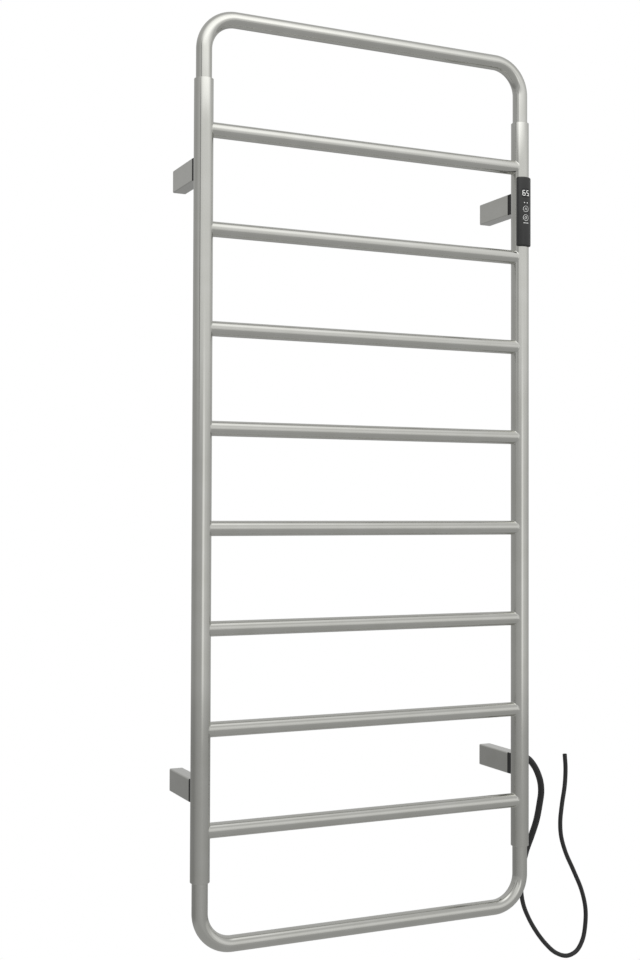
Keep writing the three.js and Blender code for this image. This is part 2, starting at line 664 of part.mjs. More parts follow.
// The lit segments of one seven-segment figure, as thin bars that stand on the backing.
function digit(lit, dx, z) {
  const [halfW, halfH, thick] = [DIGIT_HALF_W, DIGIT_HALF_H, SEGMENT_HALF];
  const bite = 0.1; // neighbouring segments overlap by this much
  const across = (height) => [-halfW + thick, halfW - thick, height - thick, height + thick];
  const upright = (x, low) => [x - thick, x + thick, low + bite, low + halfH - thick - bite];
  const places = {
    a: across(halfH - thick),
    g: across(0),
    d: across(-halfH + thick),
    b: upright(halfW - bite, thick),
    f: upright(-halfW + bite, thick),
    c: upright(halfW - bite, -halfH + thick),
    e: upright(-halfW + bite, -halfH + thick),
  };
  return [...lit].map((name) => {
    const [x0, x1, z0, z1] = places[name];
    const x = POST_X + dx;
    return box(
      [x + x0, POST_Y + SEGMENT_FRONT, z + z0],
      [x + x1, POST_Y + BACKING_FRONT + bite, z + z1],
    );
  });
}

function makeKey(name, z) {
  const cap = common(moduleRod(KEY_R, -16, KEY_SHOULDER + 0.1, z), postRound(KEY_FACE_R));
  const flange = moduleRod(KEY_R + KEY_FLANGE, KEY_SHOULDER, KEY_FLANGE_BACK, z);
  const stem =
    moduleRod(STEM_R, KEY_FLANGE_BACK - 0.1, KEY_STEM_BACK - KEY_TRAVEL, z, 0, SMALL_SIDES);
  addPiece(`${name}_key`, 'black', join(cap, flange, stem));
  const [bottom, top] = [z - SWITCH_HALF, z + SWITCH_HALF];
  const body = moduleBox(SWITCH_HALF, BOARD_FRONT - GAP, SWITCH_FRONT, bottom, top);
  const plunger = moduleRod(STEM_R, PLUNGER_FRONT, SWITCH_FRONT + GAP, z, 0, SMALL_SIDES);
  addPiece(`${name}_switch`, 'black', join(body, plunger));
}

// One clear moulding: two light pipes with a bridge between them.
function makeLightPipes() {
  const bridge = moduleBox(
    LIGHT_X + LIGHT_R, LIGHT_BACK, LIGHT_BRIDGE_FRONT, LIGHTS_Z - LIGHT_R, LIGHTS_Z + LIGHT_R,
  );
  const pipe = (dx) => moduleRod(LIGHT_R, -16, LIGHT_BACK, LIGHTS_Z, dx, LIGHT_SIDES);
  const pipes = join(bridge, pipe(-LIGHT_X), pipe(LIGHT_X));
  addPiece('indicator_light_pipe', 'digits', common(pipes, postRound(KEY_FACE_R)));
}

function makeSensor() {
  const top = TRAY_BOTTOM - GAP;
  const tip = top - SENSOR_LENGTH;
  addPiece('temperature_sensor', 'smoked', turned('z', [
    [0, tip], [SENSOR_R - 0.6, tip + 0.6], [SENSOR_R, tip + 2], [SENSOR_R, top], [0, top],
  ], inPost(...SENSOR_AT), SMALL_SIDES));
}

// ---- heating cable, supply lead and power cord ----------------------------------------------

// The heating cable leaves the module upwards, crosses the top hoop, then runs to and fro
// through the bars and ends past the bottom hoop.
function makeHeatingCable() {
  const inHoop = { bend: HOOP_BEND, steps: 4 };
  const inPostBend = { bend: 10, steps: 2 };
  const gentle = { bend: 30, steps: 1 };
  const corners = [
    { at: [...inPost(0, HEAT_TAIL_DEPTH), TRAY_TOP + GAP] },
    { at: [...inPost(0, HEAT_TAIL_DEPTH), 462], ...gentle },
    { at: [POST_X, POST_Y, 492], ...gentle },
    { at: [POST_X, POST_Y, HOOP_Z], ...inHoop },
    { at: [-POST_X, POST_Y, HOOP_Z], ...inHoop },
  ];
  let side = -1;
  for (let i = 0; i < BAR_COUNT; i++) {
    corners.push({ at: [side * POST_X, POST_Y, barHeight(i)], ...inPostBend });
    corners.push({ at: [-side * POST_X, POST_Y, barHeight(i)], ...inPostBend });
    side = -side;
  }
  corners.push({ at: [-POST_X, POST_Y, -HOOP_Z], ...inHoop });
  corners.push({ at: [POST_X, POST_Y, -HOOP_Z], ...inHoop });
  corners.push({ at: [POST_X, POST_Y, -POST_END - HEAT_END_DROP] });
  addPiece('heating_cable', 'heater', sweepStations(bentRoute(corners), HEAT_CABLE_R, 0, 6));
  const seal = -POST_END - HEAT_END_DROP + GAP;
  const sealTop = seal + SEAL_LENGTH;
  addPiece('heating_cable_end_seal', 'rubber', turned('z', [
    [0, seal], [SEAL_R, seal], [SEAL_R, sealTop - 2], [SEAL_R - 0.9, sealTop], [0, sealTop],
  ], inPost(0, 0), SMALL_SIDES));
}

function makeSupplyLead() {
  const start = BRACKET_FACE_X - GLAND_INSIDE;
  const x = POST_X + LEAD_X;
  const turn = { bend: 4.6, steps: 3 };
  const shift = { bend: 30, steps: 2 };
  const path = bentRoute([
    { at: [start, CORD_EXIT_Y, -BRACKET_Z] },
    { at: [x, CORD_EXIT_Y, -BRACKET_Z], ...turn },
    { at: [x, POST_Y + LEAD_BACK, -BRACKET_Z], ...turn },
    { at: [x, POST_Y + LEAD_BACK, 222], ...shift },
    { at: [x, POST_Y + LEAD_FRONT, 286], ...shift },
    { at: [x, POST_Y + LEAD_FRONT, TRAY_BOTTOM - GAP] },
  ]);
  addPiece('internal_supply_lead', 'cord', sweepStations(path, LEAD_R, 0, 8));
  const bushEnds = [POST_Y + POST_R - 0.6, POST_Y + POST_R + 2];
  const bush = tube('y', LEAD_HOLE_R - GAP, LEAD_R + GAP, ...bushEnds, [x, 0, -BRACKET_Z]);
  addPiece('lead_bush', 'rubber', bush);
}

function makeGland() {
  const at = [0, CORD_EXIT_Y, -BRACKET_Z];
  const face = BRACKET_FACE_X + GAP;
  const inner = face - GLAND_INSIDE;
  const tip = CORD_FACE_X - GAP;
  addPiece('cord_gland', 'black', turned('x', [
    [0, inner], [GLAND_R, inner], [GLAND_R, face], [GLAND_HEAD_R, face],
    [GLAND_HEAD_R, face + GLAND_HEAD_EDGE], [GLAND_HEAD_TIP_R, tip], [0, tip],
  ], at));
  const nutFace = BRACKET_FACE_X - BRACKET_WALL - GAP;
  const nut = rod('x', GLAND_NUT_R, nutFace - GLAND_NUT_DEPTH, nutFace, at, 6);
  const nutBore = rod('x', GLAND_HOLE_R, nutFace - GLAND_NUT_DEPTH - 1, nutFace + 1, at);
  addPiece('cord_gland_nut', 'black', cut(nut, nutBore));
}

function makeCord() {
  const at = [0, CORD_EXIT_Y, -BRACKET_Z];
  const route = new THREE.CatmullRomCurve3(CORD_ROUTE.map((p) => new THREE.Vector3(...p)));
  const reliefEnd = CORD_FACE_X + RELIEF_LENGTH;
  addPiece('cord_strain_relief', 'rubber', turned('x', [
    [0, CORD_FACE_X], [RELIEF_ROOT_R, CORD_FACE_X], [RELIEF_TIP_R, reliefEnd], [0, reliefEnd],
  ], at));
  const cover = new CurveStretch(route, CORD_COVER_START, CORD_COVER_END);
  addPiece('cord_cover', 'cord', sweep(cover, 14, CORD_COVER_R, 0, 10));
  const cord = new CurveStretch(route, CORD_COVER_END + GAP, route.getLength());
  addPiece('power_cord', 'cord', sweep(cord, 44, CORD_R, 0, 8));
}

// ---- assembly -------------------------------------------------------------------------------

makePost('left');
makePost('right');
makeHoop('top_hoop', 1);
makeHoop('bottom_hoop', -1);
for (const level of Object.keys(LEVELS)) {
  for (const side of Object.keys(SIDES)) {
    makeFerrule(side, level);
  }
}
for (let i = 0; i < BAR_COUNT; i++) makeBar(i);
makeBrackets();
makeHousing();
makeGasket();
makeTray();
makeBoard();
makeDisplay();
makeKey('power', KEY_POWER_Z);
makeKey('timer', KEY_TIMER_Z);
makeLightPipes();
makeSensor();
makeHeatingCable();
makeSupplyLead();
makeGland();
makeCord();

export default model;
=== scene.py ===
import math
from contextlib import contextmanager

import bmesh
import bpy
from mathutils import Matrix, Vector


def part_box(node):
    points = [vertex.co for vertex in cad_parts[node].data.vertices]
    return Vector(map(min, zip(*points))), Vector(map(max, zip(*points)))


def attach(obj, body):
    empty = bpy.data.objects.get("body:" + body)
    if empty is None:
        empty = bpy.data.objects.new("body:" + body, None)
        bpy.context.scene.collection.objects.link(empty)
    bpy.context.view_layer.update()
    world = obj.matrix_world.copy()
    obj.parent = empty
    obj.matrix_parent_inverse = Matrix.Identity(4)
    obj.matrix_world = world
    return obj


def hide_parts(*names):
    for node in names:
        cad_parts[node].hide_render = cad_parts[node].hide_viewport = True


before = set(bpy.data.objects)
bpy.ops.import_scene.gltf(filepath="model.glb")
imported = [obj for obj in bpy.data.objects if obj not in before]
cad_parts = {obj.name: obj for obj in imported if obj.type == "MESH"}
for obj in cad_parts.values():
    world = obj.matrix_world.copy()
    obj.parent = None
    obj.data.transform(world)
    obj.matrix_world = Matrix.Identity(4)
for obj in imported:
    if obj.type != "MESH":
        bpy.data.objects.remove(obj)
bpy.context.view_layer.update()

MM = 0.001

# ---- places and sizes, from the frame ----

POST_LOW, POST_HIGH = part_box("left_post")
POST_R = (POST_HIGH.x - POST_LOW.x) / 2
POST_X = -(POST_HIGH.x + POST_LOW.x) / 2
POST_Y = POST_LOW.y + POST_R
POST_END = POST_HIGH.z
POST_WALL = 1 * MM

HOOP_LOW, HOOP_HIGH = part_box("top_hoop")
HOOP_R = (HOOP_HIGH.y - HOOP_LOW.y) / 2
HOOP_Z = HOOP_HIGH.z - HOOP_R
HOOP_BEND = 43 * MM
HOOP_WALL = 1.2 * MM

BAR_NODES = [f"crossbar_{i}" for i in range(1, 9)]
BAR_LOW, BAR_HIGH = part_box(BAR_NODES[0])
BAR_R = (BAR_HIGH.z - BAR_LOW.z) / 2
BAR_WALL = 1 * MM
WELD_COVE = 0.9 * MM        # radius of the blended weld where a bar meets its post

SLEEVE_LOW, SLEEVE_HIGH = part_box("upper_left_bracket_sleeve")
SLEEVE_HALF_W = (SLEEVE_HIGH.x - SLEEVE_LOW.x) / 2
SLEEVE_HALF_H = (SLEEVE_HIGH.z - SLEEVE_LOW.z) / 2
SLEEVE_WALL = 1.5 * MM
SLEEVE_ROUND = 1.6 * MM
SIDE_END = 17.5 * MM        # from the post's axis to the front edge of a sleeve's side walls
PAD_CHEEK = 1.4 * MM        # how far a pad reaches in over its sleeve's top and bottom walls
PAD_INSET = 0.4 * MM
BRACKET_Z = (SLEEVE_HIGH.z + SLEEVE_LOW.z) / 2
BOLT_DROP = 8 * MM          # a post bolt sits this far below its bracket's middle
GRUB_Y = -12 * MM
GAP = 0.3 * MM

SHELL_LOW, SHELL_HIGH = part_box("control_housing")
SHELL_R = POST_Y - SHELL_LOW.y              # the module's face, from the post's axis
SHELL_HALF_W = (SHELL_HIGH.x - SHELL_LOW.x) / 2
KEY_FACE_R = POST_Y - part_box("power_key")[0].y

CORD_EXIT_Y = -42.5 * MM
CORD_R = 3.25 * MM
COVER_R = 4.65 * MM
COVER_SPAN = (22 * MM, 205 * MM)            # along the cord from the gland
RELIEF_LENGTH = 24 * MM

# The cord from the gland: down beside the post, behind the hoop, and up along the wall.
CORD_ROUTE = [Vector(point) * MM for point in (
    (250, -42.5, -395.5), (262, -42.5, -395.5), (274, -42.5, -395.6), (284, -42.4, -399),
    (296.5, -42, -412.5), (306.5, -40.5, -433), (310, -38, -450), (310, -34.5, -466),
    (308.5, -28, -493), (304, -21.5, -517), (298.5, -15.5, -540), (294.5, -10.5, -569),
    (295.5, -7.5, -600), (301, -5.5, -622), (311, -4.5, -643), (324.5, -4, -664),
    (341, -4, -684), (359, -4, -699.5), (379, -4, -706.5), (396, -4, -701.5),
    (407, -4, -686.5), (412, -4, -665), (412.5, -4, -640), (405.5, -4, -612),
    (391, -4, -581), (376.5, -4, -552), (368.5, -4, -527), (367, -4, -505),
    (370, -4, -480), (375, -4, -452), (376.5, -4, -426), (375, -4, -405),
)]

ROUND_SIDES = 96            # round a tube or a turned piece
SAME_PLACE = 0.001 * MM     # points closer than this are one point
AXES = {"x": Vector((1, 0, 0)), "y": Vector((0, 1, 0)), "z": Vector((0, 0, 1))}
TURNS = {"x": (0, math.pi / 2, 0), "y": (-math.pi / 2, 0, 0), "z": (0, 0, 0)}


# ---- the viewpoint ----

CAMERA_PLACE = (-0.8365, -1.7407, -0.0393)
CAMERA_YAW = 0.4339         # turned towards +X
CAMERA_PITCH = 0.0215
CAMERA_ROLL = 0.0034
CAMERA_LENS = 51.82         # on a 36 mm sensor


def add_camera():
    """The viewpoint: left of the rail, level with its middle, turned to the right."""
    bpy.ops.object.camera_add()
    camera = bpy.context.object
    camera.name = "viewpoint"
    flat = math.cos(CAMERA_PITCH)
    ahead = Vector((math.sin(CAMERA_YAW) * flat, math.cos(CAMERA_YAW) * flat, math.sin(CAMERA_PITCH)))
    level = Vector((math.cos(CAMERA_YAW), -math.sin(CAMERA_YAW), 0))
    upward = level.cross(ahead)
    right = level * math.cos(CAMERA_ROLL) + upward * math.sin(CAMERA_ROLL)
    up = upward * math.cos(CAMERA_ROLL) - level * math.sin(CAMERA_ROLL)
    turn = Matrix((right, up, -ahead)).transposed().to_4x4()
    camera.matrix_world = Matrix.Translation(CAMERA_PLACE) @ turn
    camera.data.lens = CAMERA_LENS
    camera.data.sensor_width = 36
    camera.data.clip_start = 0.01
    bpy.context.scene.camera = camera


# ---- bench work: small helpers round Blender's operators ----

def named(name):
    """Names the piece that was just added, and puts its place into its mesh."""
    piece = bpy.context.object
    piece.name = name
    piece.data.name = name
    bpy.ops.object.transform_apply(location=True, rotation=True, scale=True)
    return piece


def choose(piece):
    bpy.ops.object.select_all(action="DESELECT")
    piece.select_set(True)
    bpy.context.view_layer.objects.active = piece


@contextmanager
def editing(piece, kind="VERT", start="DESELECT"):
    """Edit mode on one piece, with nothing selected at the start, or everything ('SELECT')."""
    choose(piece)
    bpy.ops.object.mode_set(mode="EDIT")
    bpy.ops.mesh.select_mode(type=kind)
    bpy.ops.mesh.select_all(action=start)
    yield
    bpy.ops.object.mode_set(mode="OBJECT")


def pick(piece, parts, wanted):
    """Selects, in edit mode, the 'verts', 'edges' or 'faces' that pass a test."""
    mesh = bmesh.from_edit_mesh(piece.data)
    for part in getattr(mesh, parts):
        part.select_set(False)
    for part in getattr(mesh, parts):
        if wanted(part):
            part.select_set(True)
    mesh.select_flush_mode()
    bmesh.update_edit_mesh(piece.data)


def picked_verts(piece):
    return [v for v in bmesh.from_edit_mesh(piece.data).verts if v.select]


def extrude(move):
    bpy.ops.mesh.extrude_region_move(TRANSFORM_OT_translate={"value": tuple(move)})


def scale_about(centre, factor):
    bpy.ops.transform.resize(value=(factor, factor, factor), center_override=tuple(centre))


def close_up(piece, face_out=True):
    """Merges a piece's doubles, and points its faces outwards unless told not to."""
    with editing(piece, start="SELECT"):
        bpy.ops.mesh.remove_doubles(threshold=SAME_PLACE)
        if face_out:
            bpy.ops.mesh.normals_make_consistent(inside=False)


def modify(piece, kind, **settings):
    """Adds one modifier and applies it."""
    choose(piece)
    modifier = piece.modifiers.new(kind.lower(), kind)
    for setting, value in settings.items():
        setattr(modifier, setting, value)
    bpy.ops.object.modifier_apply(modifier=modifier.name)


def combine(piece, operation, *tools):
    """Cuts a piece with tools ('DIFFERENCE'), or joins or intersects them, and uses the tools up."""
    for tool in tools:
        modify(piece, "BOOLEAN", operation=operation, object=tool, solver="EXACT")
        bpy.data.objects.remove(tool)
    return piece


def thicken(piece, wall):
    """Gives an open shell its wall, inwards."""
    modify(piece, "SOLIDIFY", thickness=wall, offset=-1, use_even_offset=True)


def ease_edges(piece, width, segments=2, angle=40):
    """Rounds a piece's crisp edges."""
    modify(piece, "BEVEL", width=width, segments=segments, limit_method="ANGLE",
           angle_limit=math.radians(angle), use_clamp_overlap=True)


def smooth(piece, angle=35):
    """Shades a piece smoothly, apart from its crisp edges."""
    choose(piece)
    bpy.ops.object.shade_smooth_by_angle(angle=math.radians(angle))
    return piece


def flatten_shading(piece):
    """Keeps the large flat faces of an eased piece flat to the light, up to their rounded edges."""
    modify(piece, "WEIGHTED_NORMAL", keep_sharp=True)


def block(name, low, high):
    low, high = Vector(low), Vector(high)
    bpy.ops.mesh.primitive_cube_add(size=1, location=(low + high) / 2, scale=high - low)
    return named(name)


def round_long_edges(piece, axis, radius, segments=6):
    """Rounds the edges of a block that run along one axis."""
    along = AXES[axis]
    with editing(piece, "EDGE"):
        pick(piece, "edges", lambda e: abs((e.verts[1].co - e.verts[0].co).normalized().dot(along)) > 0.99)
        bpy.ops.mesh.bevel(offset=radius, segments=segments, affect="EDGES")
    return piece


def circle(name, radius, at=(0, 0, 0), axis="z", sides=ROUND_SIDES, fill_type="NOTHING"):
    """A round outline about an axis, open or filled ('NGON')."""
    bpy.ops.mesh.primitive_circle_add(vertices=sides, radius=radius, fill_type=fill_type, location=at,
                                      rotation=TURNS[axis])
    return named(name)


def turned(name, axis, at, profile, sides=ROUND_SIDES, hollow=False):
    """A turned piece on an axis through `at`. Each profile point is (radius, place along the axis,
    measured from `at`). A hollow piece's profile comes back to where it starts."""
    along, at = AXES[axis], Vector(at)
    radius, place = profile[0]
    kind, fill_type = ("EDGE", "NOTHING") if hollow else ("FACE", "NGON")
    piece = circle(name, radius, at + along * place, axis, sides, fill_type)
    with editing(piece, kind, "SELECT"):
        for (old_radius, old_place), (radius, place) in zip(profile, profile[1:]):
            extrude(along * (place - old_place))
            scale_about(at + along * place, radius / old_radius)
    close_up(piece)
    return piece


def ring_profile(inner, outer, low, high, edge):
    """The profile of a plain ring with eased outer edges."""
    return [(inner, low), (outer - edge, low), (outer, low + edge), (outer, high - edge),
            (outer - edge, high), (inner, high), (inner, low)]


def rod(name, axis, at, radius, low, high, sides=ROUND_SIDES):
    """A plain round tool for cutting."""
    return turned(name, axis, at, [(radius, low), (radius, high)], sides)


def copy_of(piece, name, move):
    """A copy with its own mesh, moved by `move`."""
    twin = piece.copy()
    twin.data = piece.data.copy()
    twin.name = name
    twin.data.name = name
    twin.data.transform(Matrix.Translation(move))
    bpy.context.scene.collection.objects.link(twin)
    return twin


def keep(piece, finish, body="rail", replaces=()):
    """Gives a finished piece its finish, and says what it rides on and stands for."""
    piece.data.materials.clear()
    piece.data.materials.append(FINISHES[finish])
    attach(piece, body)
    if replaces:
        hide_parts(*replaces)
    return piece


# ---- lines and tubes along them ----

def smooth_line(route, steps=10):
    """Close points on the centripetal curve that passes through a route's points."""
    ends = [route[0] * 2 - route[1], *route, route[-1] * 2 - route[-2]]
    line = []
    for p0, p1, p2, p3 in zip(ends, ends[1:], ends[2:], ends[3:]):
        t1 = math.sqrt((p1 - p0).length)
        t2 = t1 + math.sqrt((p2 - p1).length)
        t3 = t2 + math.sqrt((p3 - p2).length)
        for step in range(steps):
            t = t1 + (t2 - t1) * step / steps
            a = p0.lerp(p1, t / t1)
            b = p1.lerp(p2, (t - t1) / (t2 - t1))
            c = p2.lerp(p3, (t - t2) / (t3 - t2))
            d = a.lerp(b, t / t2)
            e = b.lerp(c, (t - t1) / (t3 - t1))
            line.append(d.lerp(e, (t - t1) / (t2 - t1)))
    line.append(route[-1].copy())
    return line


def line_length(line):
    return sum((b - a).length for a, b in zip(line, line[1:]))


def stretch(line, start, end):
    """The part of a line between two distances along it."""
    part, gone = [], 0.0
    for a, b in zip(line, line[1:]):
        span = (b - a).length
        if gone + span > start and gone < end:
            if not part:
                part.append(a.lerp(b, max(0.0, (start - gone) / span)))
            part.append(a.lerp(b, min(1.0, (end - gone) / span)))
        gone += span
    return part


def tube_along(name, line, radius, wall=0.0, resolution=5):
    """A tube that follows a line, closed at both ends, or a hollow one where a wall is given."""
    curve = bpy.data.curves.new(name, "CURVE")
    curve.dimensions = "3D"
    curve.bevel_depth = radius
    curve.bevel_resolution = resolution
    curve.use_fill_caps = wall == 0.0
    spline = curve.splines.new("POLY")
    spline.points.add(len(line) - 1)
    for point, place in zip(spline.points, line):
        point.co = (*place, 1)
    piece = bpy.data.objects.new(name, curve)
    bpy.context.scene.collection.objects.link(piece)
    choose(piece)
    bpy.ops.object.convert(target="MESH")
    piece = bpy.context.object
    close_up(piece)
    if wall:
        thicken(piece, wall)
    smooth(piece)
    return piece


# ---- finishes ----

def linear(hex_colour):
    """An sRGB hex colour as linear red, green, blue and alpha."""
    channels = [int(hex_colour[i:i + 2], 16) / 255 for i in (0, 2, 4)]
    return [c / 12.92 if c <= 0.04045 else ((c + 0.055) / 1.055) ** 2.4 for c in channels] + [1.0]


def per_mm(size):
    """A texture scale whose features are about `size` millimetres across."""
    return 1000 / size


def add_node(tree, kind, inputs=(), **settings):
    """One node with its settings. An input is a constant, or another node's output to link."""
    node = tree.nodes.new(f"ShaderNode{kind}")
    for setting, value in settings.items():
        setattr(node, setting, value)
    for socket, value in dict(inputs).items():
        if isinstance(value, bpy.types.NodeSocket):
            tree.links.new(value, node.inputs[socket])
        else:
            node.inputs[socket].default_value = value
    return node


def main_shader(tree):
    return next(n for n in tree.nodes if n.type == "BSDF_PRINCIPLED")


def new_finish(name, **sockets):
    """A material with its main shader's constant sockets set, and the tree to build on."""
    material = bpy.data.materials.new(name)
    material.use_nodes = True
    tree = material.node_tree
    shader = main_shader(tree)
    for socket, value in sockets.items():
        shader.inputs[socket.replace("_", " ")].default_value = value
    return material, tree


def wire(tree, colour, roughness, normal=None):
    """Links patterns to the main shader of a finish."""
    shader = main_shader(tree)
    for socket, output in (("Base Color", colour), ("Roughness", roughness), ("Normal", normal)):
        if output is not None:
            tree.links.new(output, shader.inputs[socket])


def colour_between(tree, factor, first, second):
    """A colour that varies between two hex colours with a pattern."""
    ramp = add_node(tree, "ValToRGB", {"Fac": factor})
    ramp.color_ramp.elements[0].position = 0.3
    ramp.color_ramp.elements[0].color = linear(first)
    ramp.color_ramp.elements[1].position = 0.7
    ramp.color_ramp.elements[1].color = linear(second)
    return ramp.outputs["Color"]


def values_between(tree, factor, low, high):
    spread = add_node(tree, "MapRange", {
        "Value": factor, "From Min": 0.3, "From Max": 0.7, "To Min": low, "To Max": high})
    return spread.outputs["Result"]


def noise(tree, vector, size, detail=2.0):
    """Even blotches about `size` millimetres across."""
    texture = add_node(tree, "TexNoise", {"Vector": vector, "Scale": per_mm(size), "Detail": detail})
    return texture.outputs[0]


def stretched(tree, vector, x, y, z):
    """The pattern's space, drawn out along an axis by a factor under 1."""
    mapping = add_node(tree, "Mapping", {"Vector": vector, "Scale": (x, y, z)})
    return mapping.outputs["Vector"]


def object_space(tree):
    return add_node(tree, "TexCoord").outputs["Object"]


def bump(tree, height, depth_mm, below=None):
    inputs = {"Height": height, "Strength": 1.0, "Distance": depth_mm * MM}
    if below is not None:
        inputs["Normal"] = below
    return add_node(tree, "Bump", inputs).outputs["Normal"]


def polished_stainless():
    """Stainless tube polished on belts: close to a mirror, with a slow waviness that bends
    reflections, and patches of haze that make their edges softer."""
    steel, tree = new_finish("polished_stainless", Metallic=1.0)
    space = object_space(tree)
    wave = noise(tree, stretched(tree, space, 1, 1, 0.5), 60)
    haze = noise(tree, stretched(tree, space, 1, 1, 0.3), 24)
    tint = colour_between(tree, noise(tree, space, 35), "C8C8C2", "CDCDC8")
    wire(tree, tint, values_between(tree, haze, 0.09, 0.14), bump(tree, wave, 0.16))
    return steel


def brushed_stainless():
    """Turned and brushed stainless rings: fine lines round the piece that spread the light."""
    steel, tree = new_finish("brushed_stainless", Metallic=1.0)
    lines = noise(tree, stretched(tree, object_space(tree), 0.15, 0.15, 6), 2, 3)
    wire(tree, colour_between(tree, lines, "9E9E99", "B4B4AF"),
         values_between(tree, lines, 0.28, 0.42), bump(tree, lines, 0.01))
    return steel


def clouded(name, shades, roughness, clouds, grain=None, metallic=0.0, **sockets):
    """A finish whose shade and roughness drift together in clouds (size in mm, detail), over a
    grain (size in mm, detail, depth in mm) where one is given."""
    material, tree = new_finish(name, Metallic=metallic, **sockets)
    space = object_space(tree)
    drift = noise(tree, space, *clouds)
    relief = bump(tree, noise(tree, space, *grain[:2]), grain[2]) if grain else None
    wire(tree, colour_between(tree, drift, *shades), values_between(tree, drift, *roughness), relief)
    return material


def moulded_black(name, dark, light, grain_mm, depth_mm, rough_low, rough_high, ior):
    """A black moulding: a fine spark-eroded grain, and slight changes of shade from handling."""
    return clouded(name, (dark, light), (rough_low, rough_high), (14, 2), (grain_mm, 3, depth_mm), IOR=ior)


def circuit_laminate():
    """Green solder mask over copper tracks, which show as lighter straight bands."""
    board, tree = new_finish("circuit_laminate", Metallic=0.0, IOR=1.55)
    space = object_space(tree)
    tracks = add_node(tree, "TexBrick", {
        "Vector": space, "Scale": per_mm(4), "Mortar Size": 0.06,
        "Color1": linear("1C5A34"), "Color2": linear("1A5230"), "Mortar": linear("2F7A4A")})
    wire(tree, tracks.outputs["Color"], values_between(tree, noise(tree, space, 1.5), 0.3, 0.45))
    return board


def flexible_pvc(name, dark, light, rough_low=0.38, rough_high=0.5):
    """Extruded PVC: a satin skin, slightly uneven along its length."""
    pvc, tree = new_finish(name, Metallic=0.0, IOR=1.53)
    space = object_space(tree)
    drift = noise(tree, space, 18, 3)
    skin = noise(tree, space, 1.2, 3)
    wire(tree, colour_between(tree, drift, dark, light),
         values_between(tree, skin, rough_low, rough_high),
         bump(tree, skin, 0.02, bump(tree, drift, 0.1)))
    return pvc


def make_finishes():
    return {
        "polished_steel": polished_stainless(),
        "brushed_steel": brushed_stainless(),
        # Zinc-plated steel and die-cast zinc: a cloudy grey with a dull shine.
        "zinc_steel": clouded(
            "zinc_plate", ("A3A7A8", "BDBFBA"), (0.32, 0.48), (5, 4), (0.8, 2, 0.02), metallic=1.0),
        "black_nylon": moulded_black("glass_filled_nylon", "161615", "1D1D1C", 0.5, 0.02, 0.5, 0.6, 1.53),
        "black_abs": moulded_black("moulded_abs", "171817", "1D1E1D", 0.35, 0.008, 0.3, 0.38, 1.6),
        "component_black": moulded_black("component_epoxy", "17181A", "1F2022", 0.3, 0.01, 0.4, 0.5, 1.55),
        # Smoked acrylic: near black and glossy, with the faintest moulding ripple.
        "smoked_window": clouded(
            "smoked_acrylic", ("0B0B0D", "131316"), (0.16, 0.22), (6, 2), (6, 2, 0.006), IOR=1.49),
        # A milky white diffuser that glows evenly: real light on the lit figures and the light pipes, a
        # painted glow on the printed key marks and dashes.
        "lit_digits": clouded(
            "lit_diffuser_and_painted_glow", ("E8EBE6", "F6F8F4"), (0.4, 0.5), (0.8, 2), IOR=1.5,
            Emission_Color=(1, 1, 1, 1), Emission_Strength=0.5),
        "circuit_board": circuit_laminate(),
        "black_rubber": moulded_black("moulded_rubber", "151515", "1C1C1B", 0.7, 0.03, 0.6, 0.75, 1.52),
        # The heating cable's brick-red silicone: soft sheen with a dusting of talc.
        "heating_silicone": clouded(
            "silicone_jacket", ("7E2A1F", "95392B"), (0.5, 0.7), (3, 4), (0.6, 2, 0.02), IOR=1.41),
        "cord_pvc": flexible_pvc("cord_sheath_pvc", "1B1B1B", "232323"),
        "brown_core": flexible_pvc("brown_core_pvc", "5A341F", "664028"),
        "blue_core": flexible_pvc("blue_core_pvc", "1E4C8C", "265A9C"),
        # Cut copper strands: bright, with a little brown tarnish.
        "copper": clouded("bare_copper", ("B56B44", "DA9468"), (0.25, 0.4), (0.5, 2), metallic=1.0),
    }


# ---- the cord, its relief and its cover ----

def make_cord():
    """The cord from gland to cut end, with the tapered boot and the thicker cover on it."""
    line = smooth_line(CORD_ROUTE)
    exit_point = CORD_ROUTE[0]
    cord = keep(tube_along("supply_cord", line, CORD_R, wall=0.8 * MM),
                "cord_pvc", replaces=["power_cord"])
    cover = keep(tube_along("cord_cover_sleeve", stretch(line, *COVER_SPAN), COVER_R, wall=1.2 * MM),
                 "cord_pvc", replaces=["cord_cover"])
    boot = make_relief_boot(exit_point)
    cores = make_cord_cores(line)


def make_relief_boot(at):
    """The tapered rubber boot, with grooves that let it flex."""
    wide, narrow, bore, groove = 6 * MM, 5 * MM, 3.4 * MM, 0.55 * MM
    grooves = 5
    pitch = RELIEF_LENGTH / (grooves + 1.5)
    taper = (wide - narrow) / RELIEF_LENGTH
    profile = [(bore, 0), (wide - 0.3 * MM, 0), (wide, 0.3 * MM)]
    for i in range(grooves):
        start = pitch * (i + 1)
        outer = wide - taper * start
        profile += [(outer, start), (outer - groove, start + 0.35 * MM),
                    (outer - groove, start + 1.0 * MM), (outer, start + 1.35 * MM)]
    profile += [(narrow, RELIEF_LENGTH - 0.4 * MM), (narrow - 0.4 * MM, RELIEF_LENGTH),
                (bore, RELIEF_LENGTH), (bore, 0)]
    boot = turned("cord_relief_boot", "x", at, profile, hollow=True)
    return keep(smooth(boot), "black_rubber", replaces=["cord_strain_relief"])


def make_cord_cores(line):
    """The cut end: two insulated cores with copper in them, just inside the sheath."""
    length = line_length(line)
    cores = []
    for colour, side in (("brown_core", -1), ("blue_core", 1)):
        shift = Vector((side * 1.15 * MM, 0, 0))
        inside = [p + shift for p in stretch(line, length - 14 * MM, length - 1.2 * MM)]
        copper = [p + shift for p in stretch(line, length - 12 * MM, length - 0.8 * MM)]
        core = tube_along(f"cord_{colour}", inside, 1.1 * MM, wall=0.5 * MM)
        strands = tube_along(f"cord_{colour}_strands", copper, 0.58 * MM)
        cores += [keep(core, colour), keep(strands, "copper")]
    return cores


